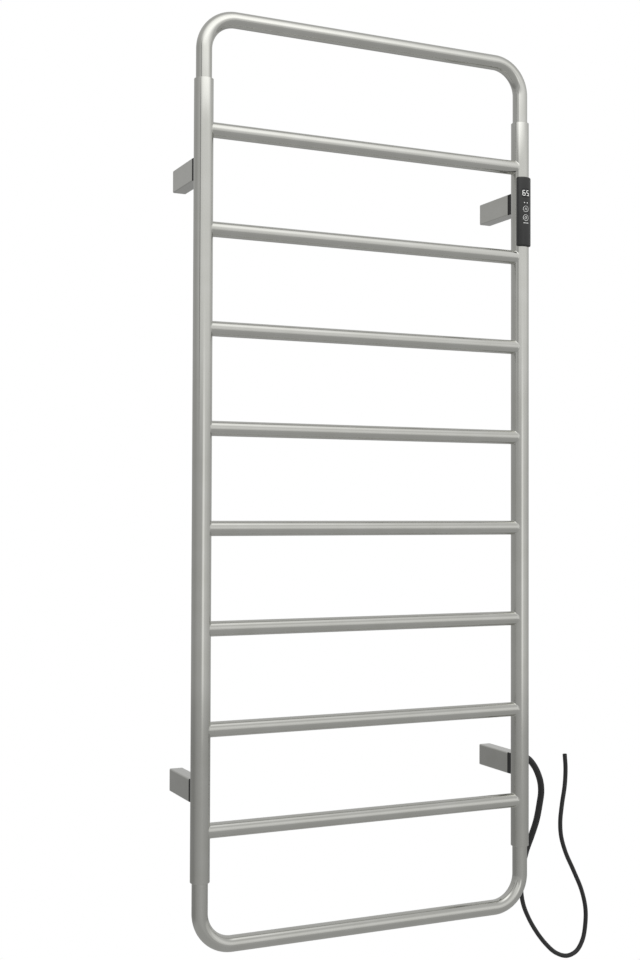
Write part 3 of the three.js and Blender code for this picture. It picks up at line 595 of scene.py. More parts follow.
# ---- posts, hoops, ferrules and bars ----

SIDES = {"left": -1, "right": 1}
LEVELS = {"upper": 1, "lower": -1}
HOLE_BAND = 8 * MM          # rings above and below a hole, so that its cut stays between them

# Radii of holes
CABLE_HOLE_R = 6 * MM
GLAND_HOLE_R = 4.8 * MM
BOLT_HOLE_R = 2.75 * MM
LEAD_HOLE_R = 4 * MM


def corners():
    """The four corners where brackets and ferrules are: name, x and z of the bracket's middle."""
    for level, sign in LEVELS.items():
        for side, x_sign in SIDES.items():
            yield f"{level}_{side}", x_sign * POST_X, sign * BRACKET_Z


def bar_heights():
    return [middle_z(node) for node in BAR_NODES]


def make_post(side):
    """A polished tube with rounded rims, drilled for the bars' cable and the bracket bolts."""
    x = SIDES[side] * POST_X
    bolt_heights = [sign * BRACKET_Z - BOLT_DROP for sign in LEVELS.values()]
    cut_heights = bar_heights() + bolt_heights
    if side == "right":
        cut_heights += [-BRACKET_Z, SHELL_HIGH.z - HOLE_BAND, SHELL_LOW.z + HOLE_BAND]
    rings = sorted(z + step for z in cut_heights for step in (-HOLE_BAND, HOLE_BAND))
    rings = [-POST_END] + [z for z in rings if abs(z) < POST_END] + [POST_END]
    post = circle(f"{side}_post_tube", POST_R, (x, POST_Y, rings[0]))
    with editing(post, "EDGE", "SELECT"):
        for low, high in zip(rings, rings[1:]):
            extrude((0, 0, high - low))
    close_up(post)
    thicken(post, POST_WALL)
    round_rims(post)
    inwards = sorted((0, -SIDES[side] * 2 * POST_R))
    tools = [rod("hole", "x", (x, POST_Y, z), CABLE_HOLE_R, *inwards, 48) for z in bar_heights()]
    tools += [rod("hole", "y", (x, POST_Y, z), BOLT_HOLE_R, 0, 2 * POST_R, 32) for z in bolt_heights]
    if side == "right":
        lead_at = (x - 1.8 * MM, POST_Y, -BRACKET_Z)
        tools.append(rod("hole", "y", lead_at, LEAD_HOLE_R, 0, 2 * POST_R, 32))
        half_w, end = 8 * MM, 5.5 * MM
        tools.append(block("opening", (x - half_w, POST_Y - 2 * POST_R, SHELL_LOW.z + end),
                           (x + half_w, POST_Y, SHELL_HIGH.z - end)))
    combine(post, "DIFFERENCE", *tools)
    keep(smooth(post), "polished_steel", replaces=[f"{side}_post"])


def round_rims(post):
    """Rounds the outer and inner edges of both rims of a post."""
    with editing(post, "EDGE"):
        pick(post, "edges", lambda e: all(abs(abs(v.co.z) - POST_END) < GAP / 10 for v in e.verts)
             and e.calc_face_angle(0) > 1)
        bpy.ops.mesh.bevel(offset=0.4 * MM, segments=4, affect="EDGES")


def make_post_inserts():
    """The threaded inserts that are pressed into the posts' backs for the bracket bolts."""
    bore, shank, flange = 2.5 * MM, 2.7 * MM, 5 * MM
    front, seat, back, edge = 4 * MM, POST_R + 0.05 * MM, POST_R + 1 * MM, 0.2 * MM
    for corner, x, z in corners():
        insert = turned(f"{corner}_post_insert", "y", (x, POST_Y, z - BOLT_DROP), [
            (bore, front), (shank, front), (shank, seat), (flange, seat), (flange, back - edge),
            (flange - edge, back), (bore, back), (bore, front)], 48, hollow=True)
        keep(smooth(insert), "zinc_steel")


def make_hoop(name, sign):
    """A tube bent at two corners, with a leg in each post."""
    leg = POST_END - 25 * MM
    corner_z = sign * (HOOP_Z - HOOP_BEND)
    hoop = circle(f"{name}_tube", HOOP_R, (-POST_X, POST_Y, sign * leg))
    with editing(hoop, "EDGE", "SELECT"):
        extrude((0, 0, corner_z - sign * leg))
        bend_tube(-POST_X + HOOP_BEND, corner_z, sign)
        extrude((2 * (POST_X - HOOP_BEND), 0, 0))
        bend_tube(POST_X - HOOP_BEND, corner_z, sign)
        extrude((0, 0, sign * leg - corner_z))
    close_up(hoop)
    thicken(hoop, HOOP_WALL)
    keep(smooth(hoop), "polished_steel", replaces=[name])


def bend_tube(centre_x, centre_z, sign):
    """Bends the tube's open end through a quarter turn in the rail's plane."""
    bpy.ops.mesh.spin(steps=32, angle=-sign * math.pi / 2, center=(centre_x, POST_Y, centre_z),
                      axis=(0, 1, 0))


def make_ferrules():
    """The rings that bring each post's bore down to its hoop leg."""
    play, edge = 0.1 * MM, 0.3 * MM
    for corner, x, _ in corners():
        node = f"{corner}_ferrule"
        low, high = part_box(node)
        profile = ring_profile(HOOP_R + play, POST_R - POST_WALL - play, low.z, high.z, edge)
        ring = turned(f"{node}_ring", "z", (x, POST_Y, 0), profile, hollow=True)
        keep(smooth(ring), "brushed_steel", replaces=[node])


def saddle(y_offset):
    """How far a post's surface stands out from its axis, at a distance before or behind that axis."""
    return math.sqrt(POST_R ** 2 - y_offset ** 2)


def weld_end(bar, side, z):
    """Runs one end of a bar up to its post, flares it into the weld and sinks it in a little."""
    steps, sunk = 5, 0.15 * MM
    for step in range(steps + 2):
        turn = min(step, steps) / steps * math.pi / 2
        radius = BAR_R + WELD_COVE * (1 - math.cos(turn))
        setback = WELD_COVE * (1 - math.sin(turn)) - (sunk if step > steps else 0)
        extrude((0, 0, 0))
        for vertex in picked_verts(bar):
            out = Vector((0, vertex.co.y - POST_Y, vertex.co.z - z)).normalized() * radius
            vertex.co = (side * (POST_X - saddle(out.y) - setback), POST_Y + out.y, z + out.z)
    bmesh.update_edit_mesh(bar.data)


def make_bars():
    """One welded bar, copied to each height."""
    heights = bar_heights()
    z = heights[0]
    first = circle("bar_tube_1", BAR_R, (0, POST_Y, z), "x")
    with editing(first, "EDGE"):
        for side in SIDES.values():
            pick(first, "edges", lambda e: all(abs(v.co.x) < GAP for v in e.verts))
            weld_end(first, side, z)
    close_up(first)
    thicken(first, BAR_WALL)
    smooth(first, 50)
    bars = [first]
    for number, height in enumerate(heights[1:], 2):
        bars.append(copy_of(first, f"bar_tube_{number}", (0, 0, height - z)))
    for bar, node in zip(bars, BAR_NODES):
        keep(bar, "polished_steel", replaces=[node])


# ---- wall brackets ----

def post_clearance(x, z):
    return rod("clearance", "z", (x, POST_Y, z), POST_R + GAP / 2, -2 * SLEEVE_HALF_H, 2 * SLEEVE_HALF_H)


def sleeve_shape(x, z):
    """The rectangular tube: its top and bottom reach the post, its sides stop short of it."""
    half_w, half_h, wall = SLEEVE_HALF_W, SLEEVE_HALF_H, SLEEVE_WALL
    sleeve = block("sleeve", (x - half_w, POST_Y, z - half_h), (x + half_w, 0, z + half_h))
    round_long_edges(sleeve, "y", SLEEVE_ROUND)
    bore = block("bore", (x - half_w + wall, POST_Y - wall, z - half_h + wall),
                 (x + half_w - wall, wall, z + half_h - wall))
    round_long_edges(bore, "y", 0.5 * MM, 3)
    side_gap = block("side_gap", (x - 2 * half_w, POST_Y - wall, z - half_h + wall),
                     (x + 2 * half_w, POST_Y + SIDE_END, z + half_h - wall))
    notches = []
    for side in SIDES.values():
        ends = sorted((x + side * (half_w - PAD_CHEEK - GAP / 2), x + side * 2 * half_w))
        notches.append(block("notch", (ends[0], POST_Y - wall, z - 2 * half_h),
                             (ends[1], POST_Y + SIDE_END, z + 2 * half_h)))
    grub_hole = rod("grub_hole", "x", (x, GRUB_Y, z), 2.3 * MM, 0, 2 * half_w, 32)
    return combine(sleeve, "DIFFERENCE", bore, side_gap, *notches, post_clearance(x, z), grub_hole)


def pad_shape(x, z):
    """The nylon saddle: it seats on the post, plugs the front of the sleeve, and its cheeks cover
    the edges of the sleeve's top and bottom walls."""
    plug_w = SLEEVE_HALF_W - SLEEVE_WALL - GAP
    plug_h = SLEEVE_HALF_H - SLEEVE_WALL - GAP
    seat_w = SLEEVE_HALF_W - PAD_INSET
    seat_h = SLEEVE_HALF_H - PAD_INSET / 2
    cheek_w = SLEEVE_HALF_W - PAD_CHEEK
    front = POST_Y + 8 * MM
    back = POST_Y + 32 * MM
    seat_back = POST_Y + SIDE_END - GAP
    pad = block("pad", (x - plug_w, front, z - plug_h), (x + plug_w, back, z + plug_h))
    seat = block("seat", (x - seat_w, front, z - seat_h), (x + seat_w, seat_back, z + seat_h))
    round_long_edges(seat, "y", SLEEVE_ROUND)
    for level in LEVELS.values():
        ends = sorted((z + level * plug_h, z + level * 2 * seat_h))
        recess = block("recess", (x - cheek_w, POST_Y, ends[0]), (x + cheek_w, back, ends[1]))
        combine(seat, "DIFFERENCE", recess)
    combine(pad, "UNION", seat)
    bolt_at = (x, POST_Y, z - BOLT_DROP)
    lead_slot = block("lead_slot", (x - 6.2 * MM, POST_Y, z - 4 * MM),
                      (x + 4 * MM, back + GAP, z + 4.2 * MM))
    return combine(
        pad, "DIFFERENCE", post_clearance(x, z), lead_slot,
        rod("bolt_hole", "y", bolt_at, BOLT_HOLE_R, 0, 33 * MM, 32),
        rod("flange_seat", "y", bolt_at, 5.3 * MM, 0, 14.2 * MM, 48),
        rod("head_seat", "y", bolt_at, 4.4 * MM, 20 * MM, 33 * MM, 48),
    )


def core_shape(x, z):
    """The die-cast block that is screwed to the wall and that the sleeve slides over."""
    half_w = SLEEVE_HALF_W - SLEEVE_WALL - GAP
    half_h = SLEEVE_HALF_H - SLEEVE_WALL - GAP
    depth, plate, wall = 22 * MM, 3 * MM, 1.75 * MM
    core = block("core", (x - half_w, -depth, z - half_h), (x + half_w, 0, z + half_h))
    round_long_edges(core, "y", 0.8 * MM, 4)
    pocket = block("pocket", (x - half_w + wall, -depth - wall, z - half_h + wall),
                   (x + half_w - wall, -plate, z + half_h - wall))
    round_long_edges(pocket, "y", 0.8 * MM, 4)
    screw_hole = turned("screw_hole", "y", (x, 0, z), [
        (5.2 * MM, -plate - GAP), (5.2 * MM, -plate), (2.75 * MM, -0.8 * MM), (2.75 * MM, GAP)], 48)
    grub_hole = rod("grub_hole", "x", (x, GRUB_Y, z), 2 * MM, 0, 2 * half_w, 32)
    return combine(core, "DIFFERENCE", pocket, screw_hole, grub_hole)


def hex_socket(axis, at, radius, low, high):
    return turned("socket", axis, at, [(radius, low), (radius, high)], 6)


def bolt_shape(x, z):
    """An M5 cap-head bolt with an eased head and a hexagon socket."""
    at = (x, POST_Y, z)
    head, tip, shank_r, head_r = 20.3 * MM, 4.6 * MM, 2.45 * MM, 4 * MM
    bolt = turned("bolt", "y", at, [
        (1.9 * MM, tip), (shank_r, tip + 0.7 * MM), (shank_r, head), (head_r, head),
        (head_r, head + 4.2 * MM), (3.5 * MM, head + 4.7 * MM)], 48)
    return combine(bolt, "DIFFERENCE", hex_socket("y", at, 2.2 * MM, head + 2.2 * MM, head + 6 * MM))


def grub_shape(x, z):
    """The socket set screw in the sleeve's side."""
    at = (x, GRUB_Y, z)
    face = SLEEVE_HALF_W - 0.4 * MM
    screw = turned("grub", "x", at, [
        (1.2 * MM, 5.4 * MM), (2 * MM, 6.2 * MM), (2 * MM, face - 0.3 * MM), (1.7 * MM, face)], 48)
    return combine(screw, "DIFFERENCE", hex_socket("x", at, 1.1 * MM, face - 1.8 * MM, face + GAP))


def make_brackets():
    """The five pieces of a bracket, modelled once and copied to the four corners."""
    x, z = -POST_X, BRACKET_Z
    originals = [
        ("sleeve", sleeve_shape(x, z), "polished_steel", 0.22 * MM),
        ("pad", pad_shape(x, z), "black_nylon", 0.25 * MM),
        ("wall_core", core_shape(x, z), "zinc_steel", 0.25 * MM),
        ("post_bolt", bolt_shape(x, z - BOLT_DROP), "zinc_steel", 0),
        ("grub_screw", grub_shape(x, z), "zinc_steel", 0),
    ]
    for corner, corner_x, corner_z in corners():
        for part, original, finish, edge in originals:
            node = f"{corner}_bracket_{part}"
            piece = copy_of(original, f"{node}_piece", Vector((corner_x - x, 0, corner_z - z)))
            if node == "lower_right_bracket_sleeve":
                at = (corner_x, CORD_EXIT_Y, corner_z)
                hole = rod("gland_hole", "x", at, GLAND_HOLE_R, 0, 2 * SLEEVE_HALF_W, 48)
                combine(piece, "DIFFERENCE", hole)
            if edge:
                ease_edges(piece, edge)
            smooth(piece)
            if edge:
                flatten_shading(piece)
            keep(piece, finish, replaces=[node])
    for _, original, _, _ in originals:
        bpy.data.objects.remove(original)


def make_gland():
    """The cord gland: a collar with a chamfered rim and a body that goes through the sleeve."""
    at = (0, CORD_EXIT_Y, -BRACKET_Z)
    low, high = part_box("cord_gland")
    collar, body, bore, face = 7 * MM, 4.5 * MM, 3.35 * MM, high.x - 2.4 * MM
    gland = turned("cord_gland_collar", "x", at, [
        (bore, low.x), (body, low.x), (body, face), (collar, face), (collar, high.x - 1 * MM),
        (collar - 0.8 * MM, high.x), (bore, high.x), (bore, low.x)], hollow=True)
    keep(smooth(gland), "black_nylon", replaces=["cord_gland"])


# ---- control module ----

FACE_CORNER = 1.4 * MM      # radius between the module's face and its sides
MODULE_BACK = -5 * MM       # the shell's rear edge, from the post's axis
END_ROUND = 2.2 * MM
KEY_HOLE_R = 4.95 * MM
LIGHT_HOLE_R = 0.8 * MM
LIGHT_X = 2.2 * MM          # the two indicator lights, either side of the post's axis


def shell_outline(face, half_w, corner, back):
    """The module's section: a face round the post's axis, eased into two flat sides."""
    side_y = -math.sqrt((face - corner) ** 2 - (half_w - corner) ** 2)
    reach = math.atan2(half_w - corner, -side_y)
    right = [(half_w, back)]
    corner_steps = 6
    for step in range(corner_steps + 1):
        turn = (math.pi / 2 - reach) * (1 - step / corner_steps) + reach
        right.append((half_w - corner + corner * math.sin(turn), side_y - corner * math.cos(turn)))
    steps = 24
    face_turns = [reach * (1 - i * 2 / steps) for i in range(1, steps)]
    face_arc = [(face * math.sin(turn), -face * math.cos(turn)) for turn in face_turns]
    return right + face_arc + [(-x, y) for x, y in reversed(right)]


def shell_body(name, outline, low, high, end_round):
    """A closed body of one section along the post, with rounded ends."""
    axis = Vector((POST_X, POST_Y, 0))
    body = circle(name, SHELL_R, sides=len(outline), fill_type="NGON")
    start = 1 - end_round / SHELL_R
    for vertex, (x, y) in zip(body.data.vertices, outline):
        vertex.co = axis + Vector((x * start, y * start, low))
    steps = 6 if end_round else 1
    rings = [(1 - end_round / SHELL_R * (1 - math.sin(i / steps * math.pi / 2)),
              end_round * (1 - math.cos(i / steps * math.pi / 2))) for i in range(steps + 1)]
    levels = [(scale, low + rise) for scale, rise in rings]
    levels += [(scale, high - rise) for scale, rise in reversed(rings)]
    with editing(body, "FACE", "SELECT"):
        for (old_scale, old_z), (scale, z) in zip(levels, levels[1:]):
            if z - old_z < SAME_PLACE / 10:
                continue
            extrude((0, 0, z - old_z))
            scale_about(axis + Vector((0, 0, z)), scale / old_scale)
    close_up(body)
    return body


def make_shell():
    """The moulded shell: hollow, open to the post, with its window, key and light openings."""
    x = POST_X
    shell = shell_body("control_shell", shell_outline(SHELL_R, SHELL_HALF_W, FACE_CORNER, MODULE_BACK),
                       SHELL_LOW.z, SHELL_HIGH.z, END_ROUND)
    wall = 1.6 * MM
    hollow = shell_body(
        "hollow", shell_outline(SHELL_R - wall - 0.4 * MM, SHELL_HALF_W - 0.8 * MM, 0.6 * MM, 0),
        SHELL_LOW.z + 1.3 * MM, SHELL_HIGH.z - 1.3 * MM, 0)
    clearance = rod("clearance", "z", (x, POST_Y, 0), POST_R + 0.15 * MM,
                    SHELL_LOW.z - 2 * MM, SHELL_HIGH.z + 2 * MM)
    window_low, window_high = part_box("display_window")
    window = block("opening", (window_low.x - 0.1 * MM, POST_Y - 2 * SHELL_R, window_low.z - 0.1 * MM),
                   (window_high.x + 0.1 * MM, POST_Y, window_high.z + 0.1 * MM))
    round_long_edges(window, "y", 0.6 * MM, 4)
    tools = [hollow, clearance, window]
    for key in ("power_key", "timer_key"):
        at = (x, POST_Y, middle_z(key))
        tools.append(rod("key_hole", "y", at, KEY_HOLE_R, -2 * SHELL_R, MODULE_BACK, 64))
    for side in SIDES.values():
        at = (x + side * LIGHT_X, POST_Y, middle_z("indicator_light_pipe"))
        tools.append(rod("light_hole", "y", at, LIGHT_HOLE_R, -2 * SHELL_R, MODULE_BACK, 32))
    combine(shell, "DIFFERENCE", *tools)
    keep(smooth(shell, 30), "black_abs", replaces=["control_housing"])


def middle_z(node):
    low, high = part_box(node)
    return (low.z + high.z) / 2


def face_drop(dx, radius):
    """How far a surface round the post's axis falls back at `dx` to the side."""
    return radius - math.sqrt(radius ** 2 - dx ** 2)


def lay_on_face(piece, radius):
    """Bends a flat mark round the post's axis so that it lies on a face of that radius."""
    for vertex in piece.data.vertices:
        vertex.co.y += face_drop(vertex.co.x - POST_X, radius)


def make_window():
    """The smoked window: a thin plate that follows the shell's face."""
    low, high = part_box("display_window")
    half_w = (high.x - low.x) / 2
    steps, sunk = 16, 0.08 * MM
    bpy.ops.mesh.primitive_grid_add(
        x_subdivisions=steps, y_subdivisions=steps, size=1, rotation=(math.pi / 2, 0, 0),
        location=(POST_X, POST_Y - SHELL_R + sunk, (low.z + high.z) / 2))
    bpy.context.object.scale = (2 * half_w, high.z - low.z, 1)
    window = named("display_window_plate")
    lay_on_face(window, SHELL_R - sunk)
    modify(window, "SOLIDIFY", thickness=1.1 * MM, offset=-1)
    ease_edges(window, 0.15 * MM, 2, 60)
    keep(smooth(window, 40), "smoked_window", replaces=["display_window"])


SEGMENTS = {"6": "acdefg", "5": "acdfg"}
FIGURE_X = 2.95 * MM        # the middles of the two figures, either side of the post's axis
DIGIT_HALF_W = 1.75 * MM    # between the middles of the segments
DIGIT_HALF_H = 3.5 * MM
SEGMENT_HALF = 0.36 * MM
SEGMENT_GAP = 0.1 * MM
PRINT_THICKNESS = 0.05 * MM


def segment_bars():
    """Centre, half length and direction of each segment of a seven-segment figure."""
    w, h = DIGIT_HALF_W, DIGIT_HALF_H
    return {
        "a": (0, h, w, True), "g": (0, 0, w, True), "d": (0, -h, w, True),
        "b": (w, h / 2, h / 2, False), "c": (w, -h / 2, h / 2, False),
        "f": (-w, h / 2, h / 2, False), "e": (-w, -h / 2, h / 2, False),
    }


def flat_mark(name, outline):
    """A flat face in front of the module: its outline is (sideways, height) from the post's axis."""
    mark = circle(name, 1 * MM, sides=len(outline), fill_type="NGON")
    for vertex, (dx, z) in zip(mark.data.vertices, outline):
        vertex.co = (POST_X + dx, POST_Y - SHELL_R, z)
    return mark


def segment_mark(dx, z, centre_x, centre_z, reach, level):
    """One segment: a bar with pointed ends, in short lengths so that it can follow a curved face."""
    reach -= SEGMENT_GAP
    shoulder = reach - SEGMENT_HALF
    stations = [(-reach, 0)] + [(shoulder * k / 2, SEGMENT_HALF) for k in range(-2, 3)] + [(reach, 0)]
    lengths = []
    for (start, start_half), (end, end_half) in zip(stations, stations[1:]):
        outline = [(start, -start_half), (end, -end_half), (end, end_half), (start, start_half)]
        places = [(a, b) if level else (b, a) for a, b in dict.fromkeys(outline)]
        lengths.append(flat_mark("segment", [(dx + centre_x + a, z + centre_z + b) for a, b in places]))
    return join_marks("segment", lengths)


def join_marks(name, marks):
    bpy.ops.object.select_all(action="DESELECT")
    for mark in marks:
        mark.select_set(True)
    bpy.context.view_layer.objects.active = marks[0]
    bpy.ops.object.join()
    joined = bpy.context.object
    joined.name = name
    joined.data.name = name
    return joined


def raise_marks(piece, radius, thickness=0.06 * MM):
    """Gives flat marks their thickness and lays them on a face of the module."""
    with editing(piece, "FACE"):
        pick(piece, "faces", lambda face: face.normal.y > 0)
        bpy.ops.mesh.flip_normals()
    close_up(piece, face_out=False)
    for vertex in piece.data.vertices:
        vertex.co.y = POST_Y - radius
    lay_on_face(piece, radius)
    modify(piece, "SOLIDIFY", thickness=thickness, offset=1)
    return piece


def make_figures():
    """The lit figures 65, at the window's face."""
    z = middle_z("display_digits")
    marks = []
    for figure, dx in (("6", -FIGURE_X), ("5", FIGURE_X)):
        for segment in SEGMENTS[figure]:
            marks.append(segment_mark(dx, z, *segment_bars()[segment]))
    figures = raise_marks(join_marks("lit_figures", marks), SHELL_R - 0.06 * MM)
    keep(figures, "lit_digits", replaces=["display_digits"])


def ring_mark(name, z, inner, outer, start=0.0, sweep=2 * math.pi, steps=48):
    """A flat ring, or part of one measured clockwise from the top, built as a strip of faces."""
    marks = []
    for step in range(steps):
        a, b = (start + sweep * (step + k) / steps for k in (0, 1))
        outline = [(outer, a), (outer, b), (inner, b), (inner, a)]
        marks.append(flat_mark(name, [(r * math.sin(t), z + r * math.cos(t)) for r, t in outline]))
    return join_marks(name, marks)


def bar_mark(name, low, high):
    """A flat upright or level bar between two corners, each (sideways, height)."""
    steps = 4
    marks = []
    for step in range(steps):
        z0, z1 = (low[1] + (high[1] - low[1]) * (step + k) / steps for k in (0, 1))
        marks.append(flat_mark(name, [(low[0], z0), (high[0], z0), (high[0], z1), (low[0], z1)]))
    return join_marks(name, marks)


def make_key(name, symbol):
    """A round key cap whose face follows the module's, with a ring and a symbol printed on it."""
    z = middle_z(name)
    cap, flange, stem = 4.7 * MM, 5.5 * MM, 1.5 * MM
    flange_front, flange_back = -12.2 * MM, -11.3 * MM
    front = -KEY_FACE_R
    at = (POST_X, POST_Y, z)
    radii = [0.4 * MM, 1.2 * MM, 2 * MM, 2.8 * MM, 3.6 * MM, cap - 0.3 * MM]
    face = [(r, front) for r in radii] + [(cap - 0.1 * MM, front + 0.08 * MM), (cap, front + 0.3 * MM)]
    rear = [(cap, flange_front), (flange, flange_front), (flange, flange_back), (stem, flange_back),
            (stem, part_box(name)[1].y - POST_Y)]
    key = turned(f"{name}_cap", "y", at, face + rear)
    for vertex in key.data.vertices:
        if vertex.co.y < POST_Y + front + 0.35 * MM:
            vertex.co.y += face_drop(vertex.co.x - POST_X, KEY_FACE_R)
    keep(smooth(key), "black_abs", body=name, replaces=[name])
    ring = ring_mark(f"{name}_ring", z, 3.95 * MM, 4.3 * MM)
    marks = raise_marks(join_marks(f"{name}_marks", [ring, *symbol(z)]), KEY_FACE_R, PRINT_THICKNESS)
    # The printed ring and symbol take the glowing finish: a painted glow on print, which is no lamp.
    keep(marks, "lit_digits", body=name)


def power_symbol(z):
    """An open circle with an upright stroke through its gap."""
    gap = 0.7
    arc = ring_mark("arc", z, 1.25 * MM, 1.55 * MM, gap, 2 * math.pi - 2 * gap, 28)
    stroke = bar_mark("stroke", (-0.2 * MM, z + 0.2 * MM), (0.2 * MM, z + 2 * MM))
    return [arc, stroke]


def timer_symbol(z):
    """A small clock face with two hands."""
    dial = ring_mark("dial", z, 1.6 * MM, 1.85 * MM, steps=32)
    upright = bar_mark("hand", (-0.17 * MM, z - 0.17 * MM), (0.17 * MM, z + 1.15 * MM))
    level = bar_mark("hand", (0.17 * MM, z - 0.17 * MM), (0.9 * MM, z + 0.17 * MM))
    return [dial, upright, level]


def make_printed_dashes():
    """A short line of plain dashes under the keys."""
    z = middle_z("timer_key") - 7.6 * MM
    marks = []
    for left in (-3.7, -2.4, -1.1, 0.5, 1.8, 3.1):
        marks.append(bar_mark("dash", (left * MM, z - 0.4 * MM), ((left + 0.9) * MM, z + 0.4 * MM)))
    # The printed dashes take the glowing finish: a painted glow on print, which is no lamp.
    keep(raise_marks(join_marks("printed_dashes", marks), SHELL_R, PRINT_THICKNESS), "lit_digits")


def make_light_tips():
    """The two light pipes, with domed tips just proud of the shell."""
    z = middle_z("indicator_light_pipe")
    pipe_r = 0.68 * MM
    tips = []
    for side in SIDES.values():
        dx = side * LIGHT_X
        front = -SHELL_R + face_drop(dx, SHELL_R)
        tips.append(turned("light_tip", "y", (POST_X + dx, POST_Y, z), [
            (0.2 * MM, front - 0.04 * MM), (0.5 * MM, front), (pipe_r, front + 0.15 * MM),
            (pipe_r, -8.6 * MM)], 32))
    pipes = join_marks("light_pipe_tips", tips)
    keep(smooth(pipes), "lit_digits", replaces=["indicator_light_pipe"])


def make_control_module():
    make_shell()
    make_window()
    make_figures()
    make_key("power_key", power_symbol)
    make_key("timer_key", timer_symbol)
    make_light_tips()
    make_printed_dashes()


# ---- inner pieces whose CAD shape is right ----

CAD_FINISHES = {
    "component_black": ("control_tray", "supply_terminal", "heater_relay", "display_block",
                        "power_switch", "timer_switch", "temperature_sensor"),
    "circuit_board": ("control_board",),
    "black_rubber": ("control_gasket", "heating_cable_end_seal", "lead_bush"),
    "heating_silicone": ("heating_cable",),
    "cord_pvc": ("internal_supply_lead",),
    "black_nylon": ("cord_gland_nut",),
}


def dress_inner_pieces():
    """Gives the pieces that keep their CAD shape their finishes."""
    for finish, names in CAD_FINISHES.items():
        for name in names:
            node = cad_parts[name]
            node.data.materials.clear()
            node.data.materials.append(FINISHES[finish])


# ---- studio ----

FLOOR_Z = -1.05             # a towel rail hangs with its lower hoop about 0.45 m above the floor


def emptied(owner):
    """The node tree of a new material or world, with nothing in it yet."""
    owner.use_nodes = True
    owner.node_tree.nodes.clear()
    return owner.node_tree


def white_glow(tree, strength=1.0):
    glow = add_node(tree, "Emission", {"Color": (1, 1, 1, 1), "Strength": strength})
    return glow.outputs["Emission"]


def plain_white(name):
    """The white of the floor and backdrop."""
    white = bpy.data.materials.new(name)
    tree = emptied(white)
    add_node(tree, "OutputMaterial", {"Surface": white_glow(tree)})
    return white


def only_seen(backdrop):
    """A backdrop that is seen but throws no light: the surround and the softbox alone light the steel."""
    backdrop.visible_diffuse = False
    backdrop.visible_glossy = False
    backdrop.visible_transmission = False
    backdrop.visible_shadow = False


def make_studio():
    white = plain_white("studio_white")
    bpy.ops.object.select_all(action="DESELECT")
    bpy.ops.mesh.primitive_plane_add(size=24, location=(0, 0, FLOOR_Z))
    floor = named("studio_floor")
    bpy.ops.mesh.primitive_uv_sphere_add(segments=48, ring_count=24, radius=12)
    dome = named("studio_dome")
    for backdrop in (floor, dome):
        backdrop.data.materials.append(white)
        only_seen(backdrop)


SOFTBOX_PLACE = (-0.15, -0.63, 1.04)    # above the rail and half a metre in front of it
SOFTBOX_REACH = (1.25, 0.68)            # half its width and half its depth
SOFTBOX_LEVEL = 1.0


def calculate(tree, operation, *values):
    return add_node(tree, "Math", dict(enumerate(values)), operation=operation).outputs[0]


def make_softbox():
    """A large softbox, brightest in the middle and fading to nothing at its edges."""
    bpy.ops.object.select_all(action="DESELECT")
    tilt = math.atan2(-SOFTBOX_PLACE[1] + POST_Y, SOFTBOX_PLACE[2])
    bpy.ops.mesh.primitive_plane_add(size=2, location=SOFTBOX_PLACE, rotation=(math.pi + tilt, 0, 0))
    bpy.context.object.scale = (*SOFTBOX_REACH, 1)
    panel = named("studio_softbox")
    cloth = bpy.data.materials.new("softbox_cloth")
    tree = emptied(cloth)
    from_middle = add_node(tree, "VectorMath", {0: object_space(tree), 1: SOFTBOX_PLACE},
                           operation="SUBTRACT")
    offset = from_middle.outputs["Vector"]
    across = add_node(tree, "SeparateXYZ", {"Vector": offset}).outputs["X"]
    away = add_node(tree, "VectorMath", {0: offset, 1: (0, 1, 1)}, operation="MULTIPLY")
    depth = add_node(tree, "VectorMath", {0: away.outputs["Vector"]}, operation="LENGTH")
    half_w, half_d = SOFTBOX_REACH
    width_fade = fade(tree, calculate(tree, "ABSOLUTE", across), 0.05 * half_w, half_w, 1.0, 0.0)
    depth_fade = fade(tree, depth.outputs["Value"], 0.1 * half_d, half_d, SOFTBOX_LEVEL, 0.0)
    glow = white_glow(tree, calculate(tree, "MULTIPLY", width_fade, depth_fade))
    clear = add_node(tree, "BsdfTransparent")
    shine = add_node(tree, "AddShader", {0: glow, 1: clear.outputs["BSDF"]})
    add_node(tree, "OutputMaterial", {"Surface": shine.outputs["Shader"]})
    panel.data.materials.append(cloth)
    panel.visible_camera = False
    panel.visible_shadow = False


# Brightness of the studio's surround by the compass angle in front of the rail: 0 is straight ahead
# of it, and positive angles are towards +X. One list is for directions above the horizon, one is
# for directions along it and one for those below it.
SURROUND_ABOVE = [
    (-180, 0.50), (-148, 0.47), (-110, 0.44), (-80, 0.55), (-64, 0.62), (-60, 0.30), (-53, 0.30),
    (-49, 0.82), (-20, 0.90), (54, 0.90), (70, 0.78), (86, 0.68), (120, 0.58), (150, 0.60), (180, 0.50),
]
SURROUND_LEVEL = [
    (-180, 0.45), (-150, 0.42), (-100, 0.40), (-60, 0.50), (-30, 0.52), (-14, 0.58), (-5, 1.10),
    (8, 1.10), (16, 0.78), (40, 0.70), (60, 0.62), (90, 0.56), (120, 0.50), (150, 0.50), (180, 0.45),
]
SURROUND_BELOW = [
    (-180, 0.34), (-150, 0.31), (-100, 0.29), (-60, 0.40), (-20, 0.47), (5, 0.50), (40, 0.46),
    (90, 0.40), (120, 0.36), (180, 0.33),
]


def levels_by_angle(tree, turn, rows):
    """A brightness that follows rows of (angle in degrees, level) round the horizon."""
    ramp = add_node(tree, "ValToRGB", {"Fac": turn})
    elements = ramp.color_ramp.elements
    for index, (angle, level) in enumerate(rows):
        place = (angle + 180) / 360
        element = elements[index] if index < 2 else elements.new(place)
        element.position = place
        element.color = (level, level, level, 1)
    return ramp.outputs["Color"]


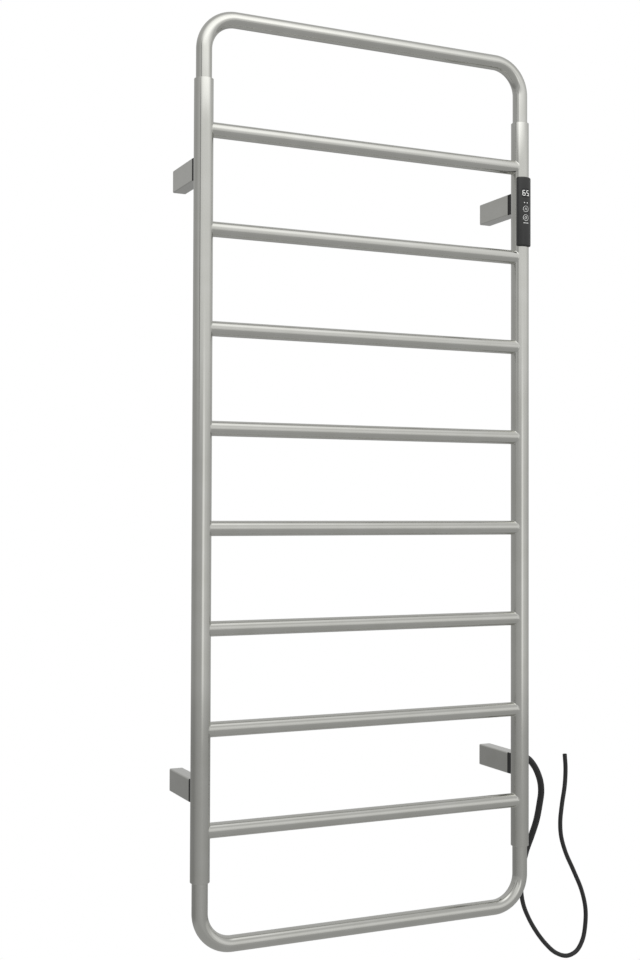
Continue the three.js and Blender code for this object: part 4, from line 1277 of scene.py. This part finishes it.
def fade(tree, value, start, end, low=0.0, high=1.0):
    """A smooth change from low to high as a value goes from start to end."""
    node = add_node(tree, "MapRange", {
        "Value": value, "From Min": start, "From Max": end, "To Min": low, "To Max": high},
        interpolation_type="SMOOTHSTEP")
    return node.outputs["Result"]


def blend_levels(tree, factor, below, above):
    mix = add_node(tree, "Mix", {0: factor, 6: below, 7: above}, data_type="RGBA")
    return mix.outputs[2]


def make_sky():
    """The surround that the steel reflects: a grey room with a white wall ahead and a bright strip
    low in front."""
    world = bpy.data.worlds.new("studio_surround")
    bpy.context.scene.world = world
    tree = emptied(world)
    direction = add_node(tree, "TexCoord").outputs["Generated"]
    parts = add_node(tree, "SeparateXYZ", {"Vector": direction})
    ahead = calculate(tree, "MULTIPLY", parts.outputs["Y"], -1.0)
    angle = calculate(tree, "ARCTAN2", parts.outputs["X"], ahead)
    turn = add_node(tree, "MapRange", {
        "Value": angle, "From Min": -math.pi, "From Max": math.pi}).outputs["Result"]
    height = parts.outputs["Z"]
    above, level, below = (levels_by_angle(tree, turn, rows)
                           for rows in (SURROUND_ABOVE, SURROUND_LEVEL, SURROUND_BELOW))
    ceiling = fade(tree, parts.outputs["Y"], -0.6, 0.5, 0.62, 0.58)
    room = blend_levels(tree, fade(tree, height, -0.165, -0.11), below, level)
    room = blend_levels(tree, fade(tree, height, 0.02, 0.16), room, above)
    room = blend_levels(tree, fade(tree, height, 0.30, 0.70), room, ceiling)
    room = blend_levels(tree, fade(tree, height, -0.35, -0.6), room, (0.44, 0.44, 0.44, 1))
    surround = add_node(tree, "Background", {"Color": room, "Strength": 1.0})
    add_node(tree, "OutputWorld", {"Surface": surround.outputs["Background"]})


def make_lights():
    make_sky()
    make_softbox()
    bpy.context.scene.view_settings.view_transform = "Standard"
    bpy.context.scene.view_settings.look = "None"


# ---- making ----

FINISHES = make_finishes()
add_camera()
make_cord()
make_studio()
make_lights()
for post_side in SIDES:
    make_post(post_side)
make_post_inserts()
make_hoop("top_hoop", 1)
make_hoop("bottom_hoop", -1)
make_ferrules()
make_bars()
make_brackets()
make_gland()
make_control_module()
dress_inner_pieces()
